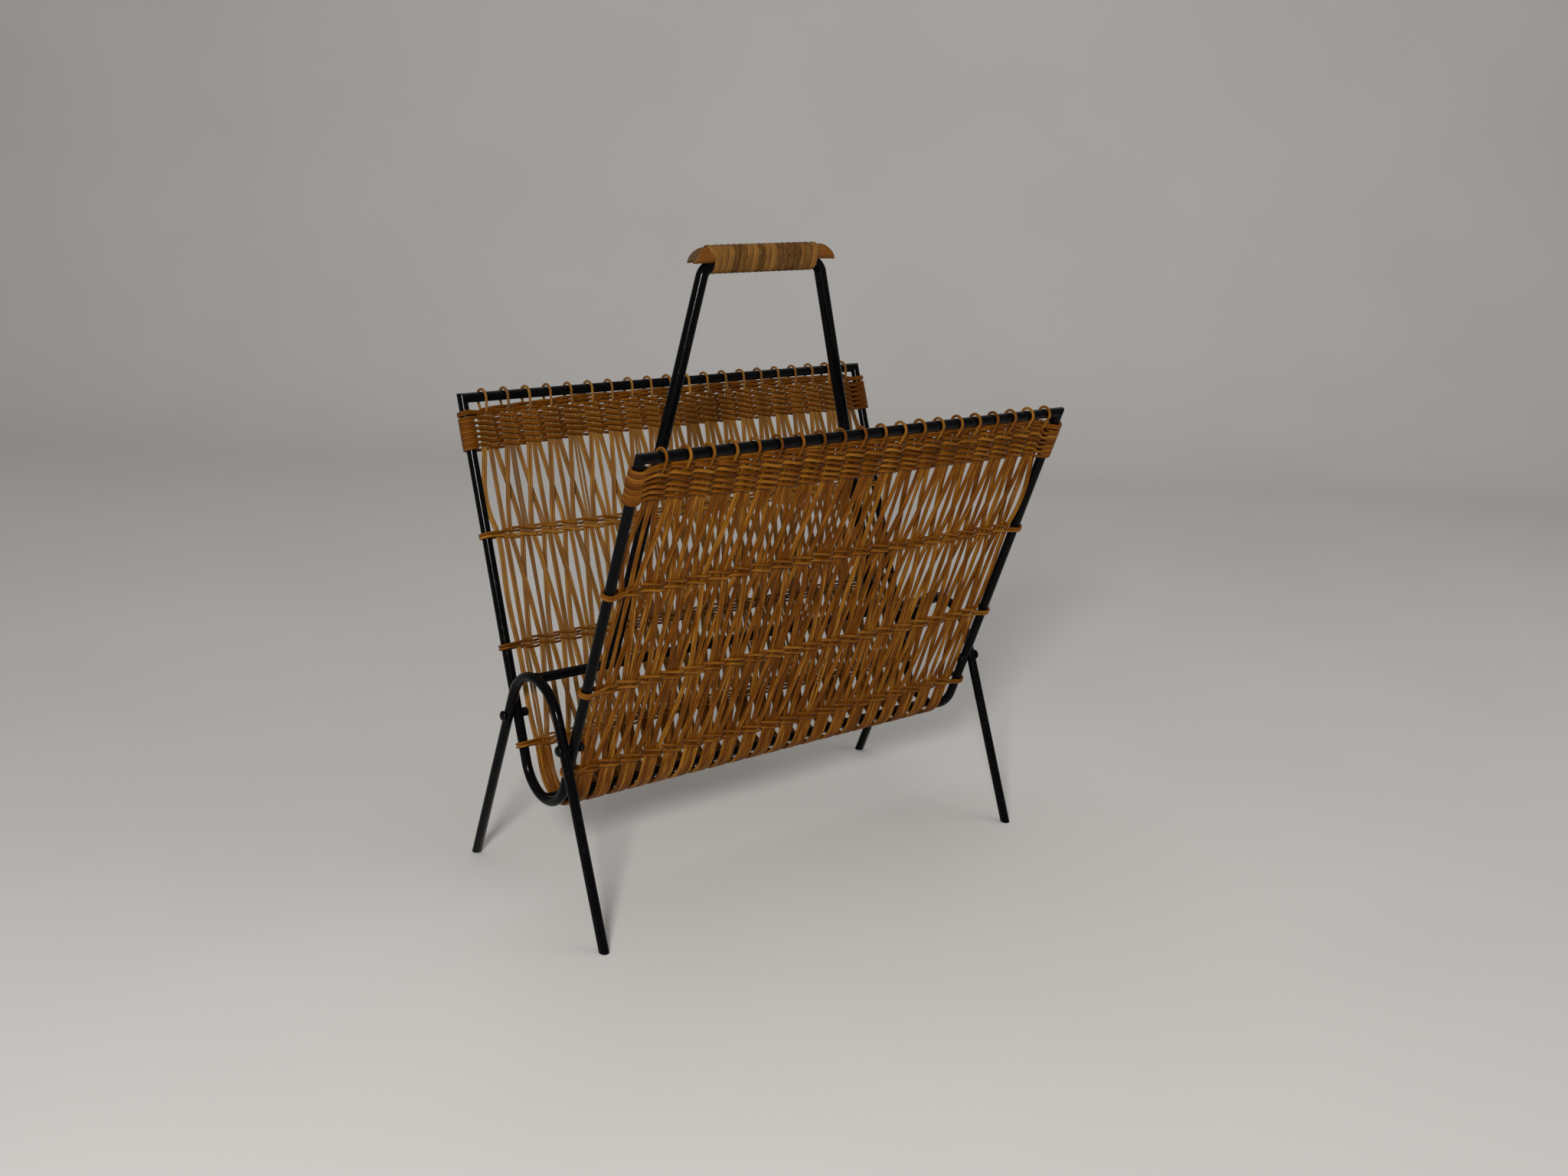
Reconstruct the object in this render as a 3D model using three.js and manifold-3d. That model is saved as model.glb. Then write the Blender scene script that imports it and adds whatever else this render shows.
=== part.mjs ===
// Magazine basket. Two open rattan panels hang in a V from a welded frame of steel rod, and meet under its
// bottom bar. A hairpin leg is bolted across each end hoop, a stretcher joins the two legs through the V, and a
// rod bow stands on it as the handle, with a rattan pole bound on its top bar with flat cane.
// Millimetres, +Z up, X along the basket, the feet on Z = 0 and the front panel towards -Y.
import * as THREE from "three";
import { mergeVertices } from "three/addons/utils/BufferGeometryUtils.js";
import Module from "manifold-3d";

const wasm = await Module();
wasm.setup();

// Basket frame. Spans and heights are between or to the rods' centrelines.
const frameRod = 8;
const basketLength = 410;
const railSpan = 262;
const railHeight = 383;
const hoopBottom = 85;
const hoopBend = 32;

// Leg frame.
const legRod = 8;
const footSpan = 206;
const peakHeight = 187;
const peakBend = 38;

// Handle bow, welded a little off the middle of the stretcher.
const bowRod = 10;
const bowFootSpan = 275;
const bowTopSpan = 113;
const bowHeight = 496.5;
const bowBend = 9;
const bowShift = -8;

// Grip: a rattan pole with a flat, grooved underside, and the cane bound round pole and bar.
const poleWidth = 13.5;
const poleRise = 8;
const poleFlat = 5;
const poleLength = 140;
const poleTopLength = 124;
const bindLength = 103;
const bindTurns = 16.5;
const caneThickness = 1.2;
const caneGap = 0.45;

// Bolts and nuts.
const boltShank = 4;
const boltHead = 9;
const boltHeadHeight = 3;
const boltTail = 1.5;
const nutAcross = 7;
const nutThickness = 3.2;

// Wicker. Places on a panel are measured down its slope from the rail's centreline.
const strand = 2.3;
const stakeCount = 20;
const stakeMargin = 17;
const bandStart = 7.3;
const bandEnd = 40;
const bandCourses = 7;
const firstRow = 112;
const secondRow = 202;
const thirdRow = 280;

// Clearances: between welded pieces, between laced ones, and of a bolt in its holes.
const weldGap = 0.3;
const laceGap = 0.3;
const boltPlay = 0.3;

// How deep a butted rod's end is scooped to fit round the rod that it stands on, how deep strands of one piece
// sink into each other, how thick a crossing pair is for a strand's width, a hair's breadth that keeps two faces
// from falling together, and how far cutters run past what they cut.
const copeDepth = 1.2;
const biteDepth = 0.25;
const crossingShare = 2 / 3;
const skin = 0.05;
const overrun = 20;

// Facets.
const rodSides = 10;
const hoopSteps = 10;
const peakSteps = 9;
const bowSteps = 5;
const troughSteps = 6;
const wrapSteps = 6;
const loopSides = 8;
const boltSides = 12;
const domeSteps = 3;
const poleSides = 16;
const bindTopSteps = 4;
const bindBottomSteps = 5;
const wrapDegrees = 110;

const frameRadius = frameRod / 2;
const legRadius = legRod / 2;
const bowRadius = bowRod / 2;
const hoopX = basketLength / 2;
const legX = hoopX + frameRadius + weldGap + legRadius;
const hoopCentre = hoopBottom + hoopBend;
const peakCentre = peakHeight - peakBend;

const steel = new THREE.MeshStandardMaterial({ color: 0x0c0c0e, roughness: 0.25, metalness: 0.3 });
const zinc = new THREE.MeshStandardMaterial({ color: 0x2a2a2c, roughness: 0.4, metalness: 0.8 });
const rattan = new THREE.MeshStandardMaterial({ color: 0x9a5a22, roughness: 0.5, metalness: 0 });
const pole = new THREE.MeshStandardMaterial({ color: 0x8a4f20, roughness: 0.45, metalness: 0 });
const cane = new THREE.MeshStandardMaterial({ color: 0xa5682c, roughness: 0.4, metalness: 0 });

// Solids for cutting and joining.

function toSolid(geometry) {
  const bare = geometry.clone();
  bare.deleteAttribute("normal");
  bare.deleteAttribute("uv");
  const merged = mergeVertices(bare);
  const corners = merged.index.array;
  const kept = [];
  for (let first = 0; first < corners.length; first += 3) {
    const [a, b, c] = corners.slice(first, first + 3);
    if (a !== b && b !== c && c !== a) kept.push(a, b, c);
  }
  return new wasm.Manifold(new wasm.Mesh({
    numProp: 3,
    vertProperties: Float32Array.from(merged.attributes.position.array),
    triVerts: Uint32Array.from(kept),
  }));
}

function toGeometry(solid) {
  const mesh = solid.getMesh();
  const geometry = new THREE.BufferGeometry();
  geometry.setAttribute("position", new THREE.BufferAttribute(mesh.vertProperties, 3));
  geometry.setIndex(new THREE.BufferAttribute(mesh.triVerts, 1));
  geometry.computeVertexNormals();
  return geometry;
}

function joined(geometries) {
  const solids = geometries.map(toSolid);
  return toGeometry(solids.reduce((whole, piece) => whole.add(piece)));
}

function cutBy(geometry, cutters) {
  return toGeometry(cutters.reduce((rest, cutter) => rest.subtract(toSolid(cutter)), toSolid(geometry)));
}

function named(name, geometry, material) {
  const mesh = new THREE.Mesh(geometry, material);
  mesh.name = name;
  return mesh;
}

// Rods.

// A path with one step from knot to knot, so that straight runs take one step and bends take several.
class KnotPath extends THREE.Curve {
  constructor(knots) {
    super();
    this.knots = knots;
  }

  getPoint(share, target = new THREE.Vector3()) {
    const place = share * (this.knots.length - 1);
    const before = Math.min(Math.floor(place), this.knots.length - 2);
    return target.lerpVectors(this.knots[before], this.knots[before + 1], place - before);
  }

  getPointAt(share, target) {
    return this.getPoint(share, target);
  }

  getTangent(share, target = new THREE.Vector3()) {
    const near = Math.round(share * (this.knots.length - 1));
    const before = this.knots[Math.max(near - 1, 0)];
    const here = this.knots[near];
    const after = this.knots[Math.min(near + 1, this.knots.length - 1)];
    const arriving = here.clone().sub(before).normalize();
    const leaving = after.clone().sub(here).normalize();
    return target.copy(arriving).add(leaving).normalize();
  }

  getTangentAt(share, target) {
    return this.getTangent(share, target);
  }
}

function circlePoints(radius, sides) {
  const points = [];
  for (let side = 0; side < sides; side += 1) {
    const angle = (2 * Math.PI * side) / sides;
    points.push(new THREE.Vector2(radius * Math.cos(angle), radius * Math.sin(angle)));
  }
  return points;
}

function arcPoints(centre, radius, from, to, steps) {
  const points = [];
  for (let step = 0; step <= steps; step += 1) {
    const angle = from + ((to - from) * step) / steps;
    points.push(new THREE.Vector2(centre.x + radius * Math.cos(angle), centre.y + radius * Math.sin(angle)));
  }
  return points;
}

function rod(knots, radius) {
  const section = new THREE.Shape(circlePoints(radius, rodSides));
  const path = new KnotPath(knots);
  const settings = { steps: knots.length - 1, extrudePath: path, bevelEnabled: false };
  return new THREE.ExtrudeGeometry(section, settings);
}

function barAlongX(halfLength, radius, height) {
  const ends = [-halfLength, halfLength].map((x) => new THREE.Vector3(x, 0, height));
  return rod(ends, radius);
}

// A flat outline with an even depth. The basis says where the outline's two axes and its depth point.
function plate(outline, depth, basis, hole) {
  const shape = new THREE.Shape(outline);
  if (hole) shape.holes.push(new THREE.Path(hole));
  const geometry = new THREE.ExtrudeGeometry(shape, { depth, bevelEnabled: false });
  geometry.translate(0, 0, -depth / 2);
  return geometry.applyMatrix4(basis);
}

const axisX = new THREE.Vector3(1, 0, 0);
const axisY = new THREE.Vector3(0, 1, 0);
const axisZ = new THREE.Vector3(0, 0, 1);
const plain = new THREE.Matrix4();
const outlineYZ = new THREE.Matrix4().makeBasis(axisY, axisZ, axisX);
const outlineXZ = new THREE.Matrix4().makeBasis(axisX, axisZ, axisY.clone().negate());

// Lean from the vertical of a straight run that starts at a half span and touches a round end on the middle
// plane, a rise away from it.
function leanTo(halfSpan, rise, radius) {
  return Math.acos(radius / Math.hypot(halfSpan, rise)) - Math.atan2(rise, halfSpan);
}

const panelLean = leanTo(railSpan / 2, railHeight - hoopCentre, hoopBend);
const legLean = leanTo(footSpan / 2, peakCentre, peakBend);
const down = new THREE.Vector2(Math.sin(panelLean), Math.cos(panelLean));

// A panel's own axes: x along the rail, y out of the basket, z down the slope, from the rail's centreline.
const frontPanel = new THREE.Matrix4()
  .makeTranslation(0, -railSpan / 2, railHeight)
  .multiply(new THREE.Matrix4().makeRotationX(Math.PI + panelLean));
const halfTurn = new THREE.Matrix4().makeRotationZ(Math.PI);
const backPanel = halfTurn.clone().multiply(frontPanel);

// The mitre where a rail meets a hoop's side rod, as a block on one side of the mitre plane, in a panel's axes.
// It reaches half a weld gap past the plane, into the piece that it trims.
function mitreBlock(end, trims) {
  const block = new THREE.BoxGeometry(2 * overrun, 2 * overrun, 2 * overrun);
  const side = trims === "hoop" ? 1 : -1;
  block.translate(side * (overrun - weldGap / 2), 0, 0);
  block.rotateY(Math.PI / 2 + end * (Math.PI / 4));
  return block.translate(end * hoopX, 0, 0);
}

// The left hoop; the right one is the same piece turned round.
function hoopRod(radius) {
  const centre = new THREE.Vector2(0, hoopCentre);
  const bend = arcPoints(centre, hoopBend, Math.PI + panelLean, 2 * Math.PI - panelLean, hoopSteps);
  const top = new THREE.Vector2(railSpan / 2, railHeight).addScaledVector(down, frameRod);
  const outline = [new THREE.Vector2(-top.x, top.y), ...bend, top];
  return rod(outline.map((point) => new THREE.Vector3(-hoopX, point.x, point.y)), radius);
}

// The left hairpin leg, before its feet are cut level.
function hairpinRod(radius) {
  const bend = arcPoints(new THREE.Vector2(0, peakCentre), peakBend, legLean, Math.PI - legLean, peakSteps);
  const foot = new THREE.Vector2(footSpan / 2 + legRod * Math.sin(legLean), -legRod * Math.cos(legLean));
  const outline = [foot, ...bend, new THREE.Vector2(-foot.x, foot.y)];
  return rod(outline.map((point) => new THREE.Vector3(-legX, point.x, point.y)), radius);
}

// A bolt stands where a leg crosses a hoop's side rod, seen from the end.
const boltHeight = (footSpan / 2 - railSpan / 2 + railHeight * Math.tan(panelLean))
  / (Math.tan(panelLean) + Math.tan(legLean));
const boltSpan = footSpan / 2 - boltHeight * Math.tan(legLean);
const headSeat = legX + legRadius + weldGap;
const nutSeat = hoopX - frameRadius - weldGap;
const boltHole = (boltShank / 2 + boltPlay) / Math.cos(Math.PI / boltSides);

function boltHoles(x) {
  return [-boltSpan, boltSpan].map((y) => {
    const hole = plate(circlePoints(boltHole, boltSides), overrun, outlineYZ);
    return hole.translate(x, y, boltHeight);
  });
}

function hoopGeometry() {
  const frontMitre = mitreBlock(-1, "hoop").applyMatrix4(frontPanel);
  const backMitre = mitreBlock(1, "hoop").applyMatrix4(backPanel);
  return cutBy(hoopRod(frameRadius), [frontMitre, backMitre, ...boltHoles(-hoopX)]);
}

function hairpinGeometry() {
  const ground = new THREE.BoxGeometry(2 * overrun, footSpan + 2 * overrun, overrun);
  ground.translate(-legX, 0, -overrun / 2);
  return cutBy(hairpinRod(legRadius), [ground, ...boltHoles(-legX)]);
}

function boltGeometry() {
  const length = headSeat - nutSeat + nutThickness + boltTail;
  const dome = [];
  for (let step = 0; step <= domeSteps; step += 1) {
    const angle = (Math.PI / 2) * (step / domeSteps);
    const height = length + boltHeadHeight * Math.sin(angle);
    dome.push(new THREE.Vector2(step === domeSteps ? 0 : (boltHead / 2) * Math.cos(angle), height));
  }
  const shank = [
    new THREE.Vector2(0, 0),
    new THREE.Vector2(boltShank / 2, 0),
    new THREE.Vector2(boltShank / 2, length),
  ];
  const bolt = new THREE.LatheGeometry([...shank, ...dome], boltSides);
  bolt.rotateZ(Math.PI / 2);
  bolt.translate(length - headSeat, 0, boltHeight);
  return toGeometry(toSolid(bolt));
}

function nutGeometry() {
  const hexagon = circlePoints(nutAcross / 2 / Math.cos(Math.PI / 6), 6);
  const nut = plate(hexagon, nutThickness, outlineYZ, circlePoints(boltHole, boltSides));
  return toGeometry(toSolid(nut.translate(-nutSeat + nutThickness / 2, 0, boltHeight)));
}

const hoopShape = hoopGeometry();
const hairpinShape = hairpinGeometry();
const boltShape = boltGeometry();
const nutShape = nutGeometry();

// What stands at one end of the basket, built at the left. The right end is the same, turned half round, so
// what is in front there stands behind.
function endPieces(end, sides) {
  const group = new THREE.Group();
  group.add(named(`${end}_hoop`, hoopShape, steel), named(`${end}_hairpin_leg`, hairpinShape, steel));
  for (const [index, side] of sides.entries()) {
    const bolt = named(`${end}_${side}_bolt`, boltShape, zinc);
    const nut = named(`${end}_${side}_nut`, nutShape, zinc);
    for (const piece of [bolt, nut]) {
      piece.position.y = index === 0 ? -boltSpan : boltSpan;
      group.add(piece);
    }
  }
  return group;
}

// The bars between the ends, each scooped where it meets a bent rod.

function turnedCopy(geometry) {
  return geometry.clone().applyMatrix4(halfTurn);
}

function bottomBarGeometry() {
  const halfLength = hoopX - frameRadius - weldGap + copeDepth;
  const around = hoopRod(frameRadius + weldGap);
  return cutBy(barAlongX(halfLength, frameRadius, hoopBottom), [around, turnedCopy(around)]);
}

function stretcherGeometry() {
  const halfLength = legX - legRadius - weldGap + copeDepth;
  const around = hairpinRod(legRadius + weldGap);
  return cutBy(barAlongX(halfLength, legRadius, peakHeight), [around, turnedCopy(around)]);
}

function railGeometry() {
  const mitres = [mitreBlock(-1, "rail"), mitreBlock(1, "rail")];
  return cutBy(barAlongX(hoopX + frameRod, frameRadius, 0), mitres);
}

// The handle bow, in its own axes: x from its middle, z from the ground.

const bowLean = Math.atan((bowFootSpan - bowTopSpan) / 2 / (bowHeight - peakHeight));
const bowBendStart = bowTopSpan / 2 - bowBend * Math.tan((Math.PI / 2 - bowLean) / 2);

function bowRodAlong(radius) {
  const centre = new THREE.Vector2(bowBendStart, bowHeight - bowBend);
  const right = arcPoints(centre, bowBend, bowLean, Math.PI / 2, bowSteps);
  const foot = new THREE.Vector2(bowFootSpan / 2, peakHeight);
  const half = [foot, ...right];
  const mirrored = half.map((point) => new THREE.Vector2(-point.x, point.y)).reverse();
  return rod([...half, ...mirrored].map((point) => new THREE.Vector3(point.x, 0, point.y)), radius);
}

function bowGeometry() {
  const below = new THREE.BoxGeometry(bowFootSpan + 2 * overrun, 2 * overrun, 2 * overrun);
  below.translate(0, 0, peakHeight + legRadius + weldGap - copeDepth - overrun);
  const stretcher = barAlongX(bowFootSpan / 2 + overrun, legRadius + weldGap, peakHeight);
  return cutBy(bowRodAlong(bowRadius), [below, stretcher]);
}

// Grip.

const poleRadius = poleWidth / 2;
const poleCentre = bowHeight + poleRise;
const poleUnderside = poleCentre - poleFlat;

function poleGeometry() {
  const round = plate(circlePoints(poleRadius, poleSides), poleLength, outlineYZ).translate(0, 0, poleCentre);
  const endSlope = (poleLength - poleTopLength) / 2 / (poleFlat + poleRadius);
  const topHalf = poleTopLength / 2 - endSlope * overrun;
  const top = poleCentre + poleRadius + overrun;
  const profile = [
    new THREE.Vector2(-poleLength / 2, poleUnderside),
    new THREE.Vector2(poleLength / 2, poleUnderside),
    new THREE.Vector2(topHalf, top),
    new THREE.Vector2(-topHalf, top),
  ];
  const slanted = toSolid(plate(profile, 2 * poleWidth, outlineXZ));
  return toGeometry(toSolid(round).intersect(slanted).subtract(toSolid(bowRodAlong(bowRadius + laceGap))));
}

// One turn of the cane, seen along the bar: round the pole's top, down its sides and round the bar's underside.
function bindTurn() {
  const poleStep = Math.PI / bindTopSteps;
  const poleReach = (poleRadius + laceGap + caneThickness / 2) / Math.cos(poleStep / 2);
  const barStep = Math.PI / (bindBottomSteps + 1);
  const barReach = (bowRadius + laceGap + caneThickness / 2) / Math.cos(barStep / 2);
  const over = arcPoints(new THREE.Vector2(0, poleCentre), poleReach, 0, Math.PI, bindTopSteps);
  const under = arcPoints(new THREE.Vector2(0, bowHeight), barReach, Math.PI + barStep, 2 * Math.PI - barStep,
    bindBottomSteps - 1);
  return [...over, ...under];
}

// A flat strip through points, its width along X and its thickness along each point's outward direction.
function stripGeometry(points, outwards, width, thickness) {
  const corners = [];
  const triangles = [];
  const cornerShares = [[-1, -1], [1, -1], [1, 1], [-1, 1]];
  for (const [index, point] of points.entries()) {
    for (const [across, out] of cornerShares) {
      const corner = point.clone().addScaledVector(axisX, (across * width) / 2);
      corner.addScaledVector(outwards[index], (out * thickness) / 2);
      corners.push(...corner);
    }
  }
  const sides = cornerShares.length;
  for (let ring = 0; ring < points.length - 1; ring += 1) {
    for (let side = 0; side < sides; side += 1) {
      const here = ring * sides + side;
      const next = ring * sides + ((side + 1) % sides);
      triangles.push(here, next, next + sides, here, next + sides, here + sides);
    }
  }
  const last = (points.length - 1) * sides;
  triangles.push(0, 2, 1, 0, 3, 2, last, last + 1, last + 2, last, last + 2, last + 3);
  const geometry = new THREE.BufferGeometry();
  geometry.setAttribute("position", new THREE.Float32BufferAttribute(corners, 3));
  geometry.setIndex(triangles);
  geometry.computeVertexNormals();
  return geometry;
}

const bindPitch = (bindLength + caneGap) / (bindTurns + 1);
const caneWidth = bindPitch - caneGap;

// The cane starts on top at the grip's right end, comes down the front of each turn towards the left, and ends
// under the bar.
function bindPoints() {
  const turn = bindTurn();
  const points = [];
  const top = bindTopSteps / 2;
  const count = bindTurns * turn.length;
  for (let index = 0; index <= count; index += 1) {
    const place = turn[(top + index) % turn.length];
    const x = (bindTurns / 2 - index / turn.length) * bindPitch;
    points.push(new THREE.Vector3(x, place.x, place.y));
  }
  return points;
}

function bindingGeometry() {
  const points = bindPoints();
  const middle = (poleCentre + bowHeight) / 2;
  const outwards = points.map((point) => {
    const nearest = Math.max(Math.min(point.z, poleCentre), bowHeight);
    return new THREE.Vector3(0, point.y, point.z === middle ? 0 : point.z - nearest).normalize();
  });
  return stripGeometry(points, outwards, caneWidth, caneThickness);
}

// The least gap of the cane to itself, from the edge points of each turn to those of the turns after it.
function leastBindGap() {
  const points = bindPoints();
  const perTurn = bindTurn().length;
  let least = Infinity;
  for (let early = 0; early < points.length; early += 1) {
    for (let late = early + Math.floor(perTurn / 2); late < points.length; late += 1) {
      const trailing = points[early].clone().addScaledVector(axisX, -caneWidth / 2);
      const leading = points[late].clone().addScaledVector(axisX, caneWidth / 2);
      least = Math.min(least, trailing.distanceTo(leading));
    }
  }
  return least;
}

// Wicker of one panel, in the panel's axes.

const stakePitch = (basketLength - 2 * stakeMargin) / (stakeCount - 1);
const stakeWidth = 2 * strand;
const armWidth = 2 * strand;
const bundleWidth = stakeWidth + 2 * armWidth;
const pairHeight = 2 * strand;
const stakePlaces = Array.from({ length: stakeCount }, (_, index) => -hoopX + stakeMargin + index * stakePitch);
const netEnd = thirdRow - pairHeight / 2 - laceGap;
const loopEnd = bandStart - laceGap;

// The loop of one strand over the rail, closed below it where its two ends lie on the stake.
function railLoop(x) {
  const inner = (frameRadius + laceGap) / Math.cos(Math.PI / loopSides);
  const over = arcPoints(new THREE.Vector2(0, 0), inner + strand, 0, -Math.PI, loopSides / 2);
  const tuck = strand / 2 - skin;
  const outline = [...over, new THREE.Vector2(-tuck, loopEnd), new THREE.Vector2(tuck, loopEnd)];
  return plate(outline, strand, outlineYZ, circlePoints(inner, loopSides)).translate(x, 0, 0);
}

// The two straight strands of a stake. An end stake also has its outer pair straight.
function straightPair(index) {
  const left = stakePlaces[index] - (index === 0 ? bundleWidth : stakeWidth) / 2;
  const right = stakePlaces[index] + (index === stakeCount - 1 ? bundleWidth : stakeWidth) / 2;
  const geometry = new THREE.BoxGeometry(right - left, strand, netEnd - loopEnd + strand / 2);
  return geometry.translate((left + right) / 2, 0, (netEnd + loopEnd - strand / 2) / 2);
}

// A pair of strands that goes to the next stake and back, row by row. The two pairs of a gap cross between the
// rows, one nearer the outside than the other.
function crossingPair(index, startsRight) {
  const held = (stakeWidth + armWidth) / 2 - biteDepth;
  const free = (stakeWidth + armWidth) / 2 + skin;
  const downs = [bandEnd - pairHeight, bandEnd, firstRow, secondRow, netEnd];
  const offsets = [held, held, free, free, free];
  const middles = downs.map((row, place) => {
    const atRight = (Math.max(place, 1) % 2 === 0) !== startsRight;
    const stake = stakePlaces[index + (atRight ? 1 : 0)];
    return new THREE.Vector2(stake + (atRight ? -offsets[place] : offsets[place]), row);
  });
  const half = new THREE.Vector2(armWidth / 2, 0);
  const outline = [
    ...middles.map((point) => point.clone().sub(half)),
    ...middles.map((point) => point.clone().add(half)).reverse(),
  ];
  const thickness = strand * crossingShare;
  const layer = (strand - thickness) / 2 - skin;
  return plate(outline, thickness, outlineXZ).translate(0, startsRight ? layer : -layer, 0);
}

function stakesGeometry() {
  const pieces = [];
  for (let index = 0; index < stakeCount; index += 1) {
    pieces.push(straightPair(index), railLoop(stakePlaces[index]));
    if (index < stakeCount - 1) pieces.push(crossingPair(index, false), crossingPair(index, true));
  }
  return joined(pieces);
}

// A pair of weavers as one band: along the stakes' outer faces, round an end hoop's side rod, back along their
// inner faces and round the other rod.
function weaverOutline(radius, outerFace, innerFace) {
  const waist = hoopX - stakeMargin + bundleWidth / 2;
  const wrap = wrapDegrees * THREE.MathUtils.DEG2RAD;
  return [
    ...arcPoints(new THREE.Vector2(hoopX, 0), radius, -wrap, wrap, wrapSteps),
    new THREE.Vector2(waist, outerFace),
    new THREE.Vector2(-waist, outerFace),
    ...arcPoints(new THREE.Vector2(-hoopX, 0), radius, Math.PI - wrap, Math.PI + wrap, wrapSteps),
    new THREE.Vector2(-waist, -innerFace),
    new THREE.Vector2(waist, -innerFace),
  ];
}

function weaverGeometry(place, height, innerFace = strand / 2 + laceGap) {
  const outerFace = strand / 2 + laceGap;
  const wrap = wrapDegrees * THREE.MathUtils.DEG2RAD;
  const inside = (frameRadius + laceGap) / Math.cos(wrap / wrapSteps);
  const outline = weaverOutline(inside + strand, outerFace + strand, innerFace + strand);
  const hole = weaverOutline(inside, outerFace, innerFace);
  return plate(outline, height, plain, hole).translate(0, 0, place);
}

function cleaned(geometry) {
  return toGeometry(toSolid(geometry));
}

// The bundles under the bottom bar, from one panel's third row to the other's.

const troughStep = (Math.PI - 2 * panelLean) / troughSteps;
const troughBottom = hoopBottom - (frameRadius + laceGap) / Math.cos(troughStep / 2) - strand / 2;
const troughBend = ((railSpan / 2) * down.y - (railHeight - troughBottom) * down.x) / (1 - down.x);

function troughOutline() {
  const centre = new THREE.Vector2(0, troughBottom + troughBend);
  const start = thirdRow - pairHeight / 2;
  const line = (side, offset) => new THREE.Vector2(
    side * (railSpan / 2 - start * down.x + offset * down.y),
    railHeight - start * down.y - offset * down.x,
  );
  const bend = (radius) => arcPoints(centre, radius, Math.PI + panelLean, 2 * Math.PI - panelLean, troughSteps);
  const outer = [line(-1, strand / 2), ...bend(troughBend + strand / 2), line(1, strand / 2)];
  const inner = [line(-1, -strand / 2), ...bend(troughBend - strand / 2), line(1, -strand / 2)];
  return [...outer, ...inner.reverse()];
}

// The third row of each panel is one piece with the bundles: the row's inner weaver is what ties them.
function bottomStakesGeometry() {
  const profile = troughOutline();
  const bundles = stakePlaces.map((x) => plate(profile, bundleWidth, outlineYZ).translate(x, 0, 0));
  const row = weaverGeometry(thirdRow, pairHeight, strand / 2 - biteDepth);
  const rows = [row.clone().applyMatrix4(frontPanel), row.clone().applyMatrix4(backPanel)];
  return joined([...bundles, ...rows]);
}

const railShape = railGeometry();
const stakesShape = stakesGeometry();

// A panel, built at the front. The back one is the same, turned half round.
function panelPieces(panel) {
  const group = new THREE.Group();
  group.add(named(`${panel}_rail`, railShape, steel), named(`${panel}_stakes`, stakesShape, rattan));
  const coursePitch = (bandEnd - bandStart) / bandCourses;
  for (let course = 0; course < bandCourses; course += 1) {
    const weaver = cleaned(weaverGeometry(bandStart + (course + 0.5) * coursePitch, coursePitch - laceGap));
    group.add(named(`${panel}_band_${course + 1}`, weaver, rattan));
  }
  for (const [index, place] of [firstRow, secondRow].entries()) {
    group.add(named(`${panel}_row_${index + 1}`, cleaned(weaverGeometry(place, pairHeight)), rattan));
  }
  group.position.set(0, -railSpan / 2, railHeight);
  group.rotation.x = Math.PI + panelLean;
  const facing = new THREE.Group();
  facing.add(group);
  return facing;
}

const leftEnd = endPieces("left", ["front", "back"]);
const rightEnd = endPieces("right", ["back", "front"]);
rightEnd.rotation.z = Math.PI;

const frontSide = panelPieces("front");
const backSide = panelPieces("back");
backSide.rotation.z = Math.PI;

const handle = new THREE.Group();
handle.position.x = bowShift;
handle.add(
  named("handle_bow", bowGeometry(), steel),
  named("grip_pole", poleGeometry(), pole),
  named("grip_binding", bindingGeometry(), cane),
);

const basket = new THREE.Group();
basket.add(
  leftEnd,
  rightEnd,
  frontSide,
  backSide,
  named("bottom_bar", bottomBarGeometry(), steel),
  named("stretcher_bar", stretcherGeometry(), steel),
  named("bottom_stakes", bottomStakesGeometry(), rattan),
  handle,
);

console.log(`least gap of the grip's cane to itself: ${leastBindGap().toFixed(2)} mm`);

export default basket;
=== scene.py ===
"""Magazine basket: black steel rod, woven rattan panels and a bound rattan grip."""
import math
import random
from types import SimpleNamespace

import bpy
import numpy as np
from bpy.props import FloatProperty, FloatVectorProperty, IntProperty, PointerProperty
from bpy.types import Operator, Panel, PropertyGroup
from mathutils import Matrix, Vector


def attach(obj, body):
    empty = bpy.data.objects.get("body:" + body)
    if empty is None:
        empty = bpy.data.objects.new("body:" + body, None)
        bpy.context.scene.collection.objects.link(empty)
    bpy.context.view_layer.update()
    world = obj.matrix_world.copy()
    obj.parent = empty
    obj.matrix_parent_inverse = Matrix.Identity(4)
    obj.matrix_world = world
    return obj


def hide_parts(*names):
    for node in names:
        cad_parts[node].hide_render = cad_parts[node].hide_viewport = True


bl_info = {
    "name": "Magazine Basket",
    "version": (1, 0, 0),
    "blender": (4, 5, 0),
    "location": "View3D > Sidebar > Basket",
    "description": "Builds a rattan magazine basket on its steel rod frame",
    "category": "Add Mesh",
}

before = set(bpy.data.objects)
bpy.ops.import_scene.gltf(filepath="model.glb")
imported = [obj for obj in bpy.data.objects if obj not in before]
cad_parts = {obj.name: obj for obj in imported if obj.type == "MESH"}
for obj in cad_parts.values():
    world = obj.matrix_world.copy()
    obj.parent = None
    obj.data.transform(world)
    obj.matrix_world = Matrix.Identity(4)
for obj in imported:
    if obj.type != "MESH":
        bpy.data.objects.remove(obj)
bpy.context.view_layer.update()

MM = 0.001
AXIS_X = np.array([1.0, 0.0, 0.0])
AXIS_Y = np.array([0.0, 1.0, 0.0])
AXIS_Z = np.array([0.0, 0.0, 1.0])
FRONT, BACK = -1, 1
ENDS = ((-1, "left"), (1, "right"))
PANELS = ((FRONT, "front"), (BACK, "back"))
# Courses of a top band in the frame
BAND_COURSES = 7


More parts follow.
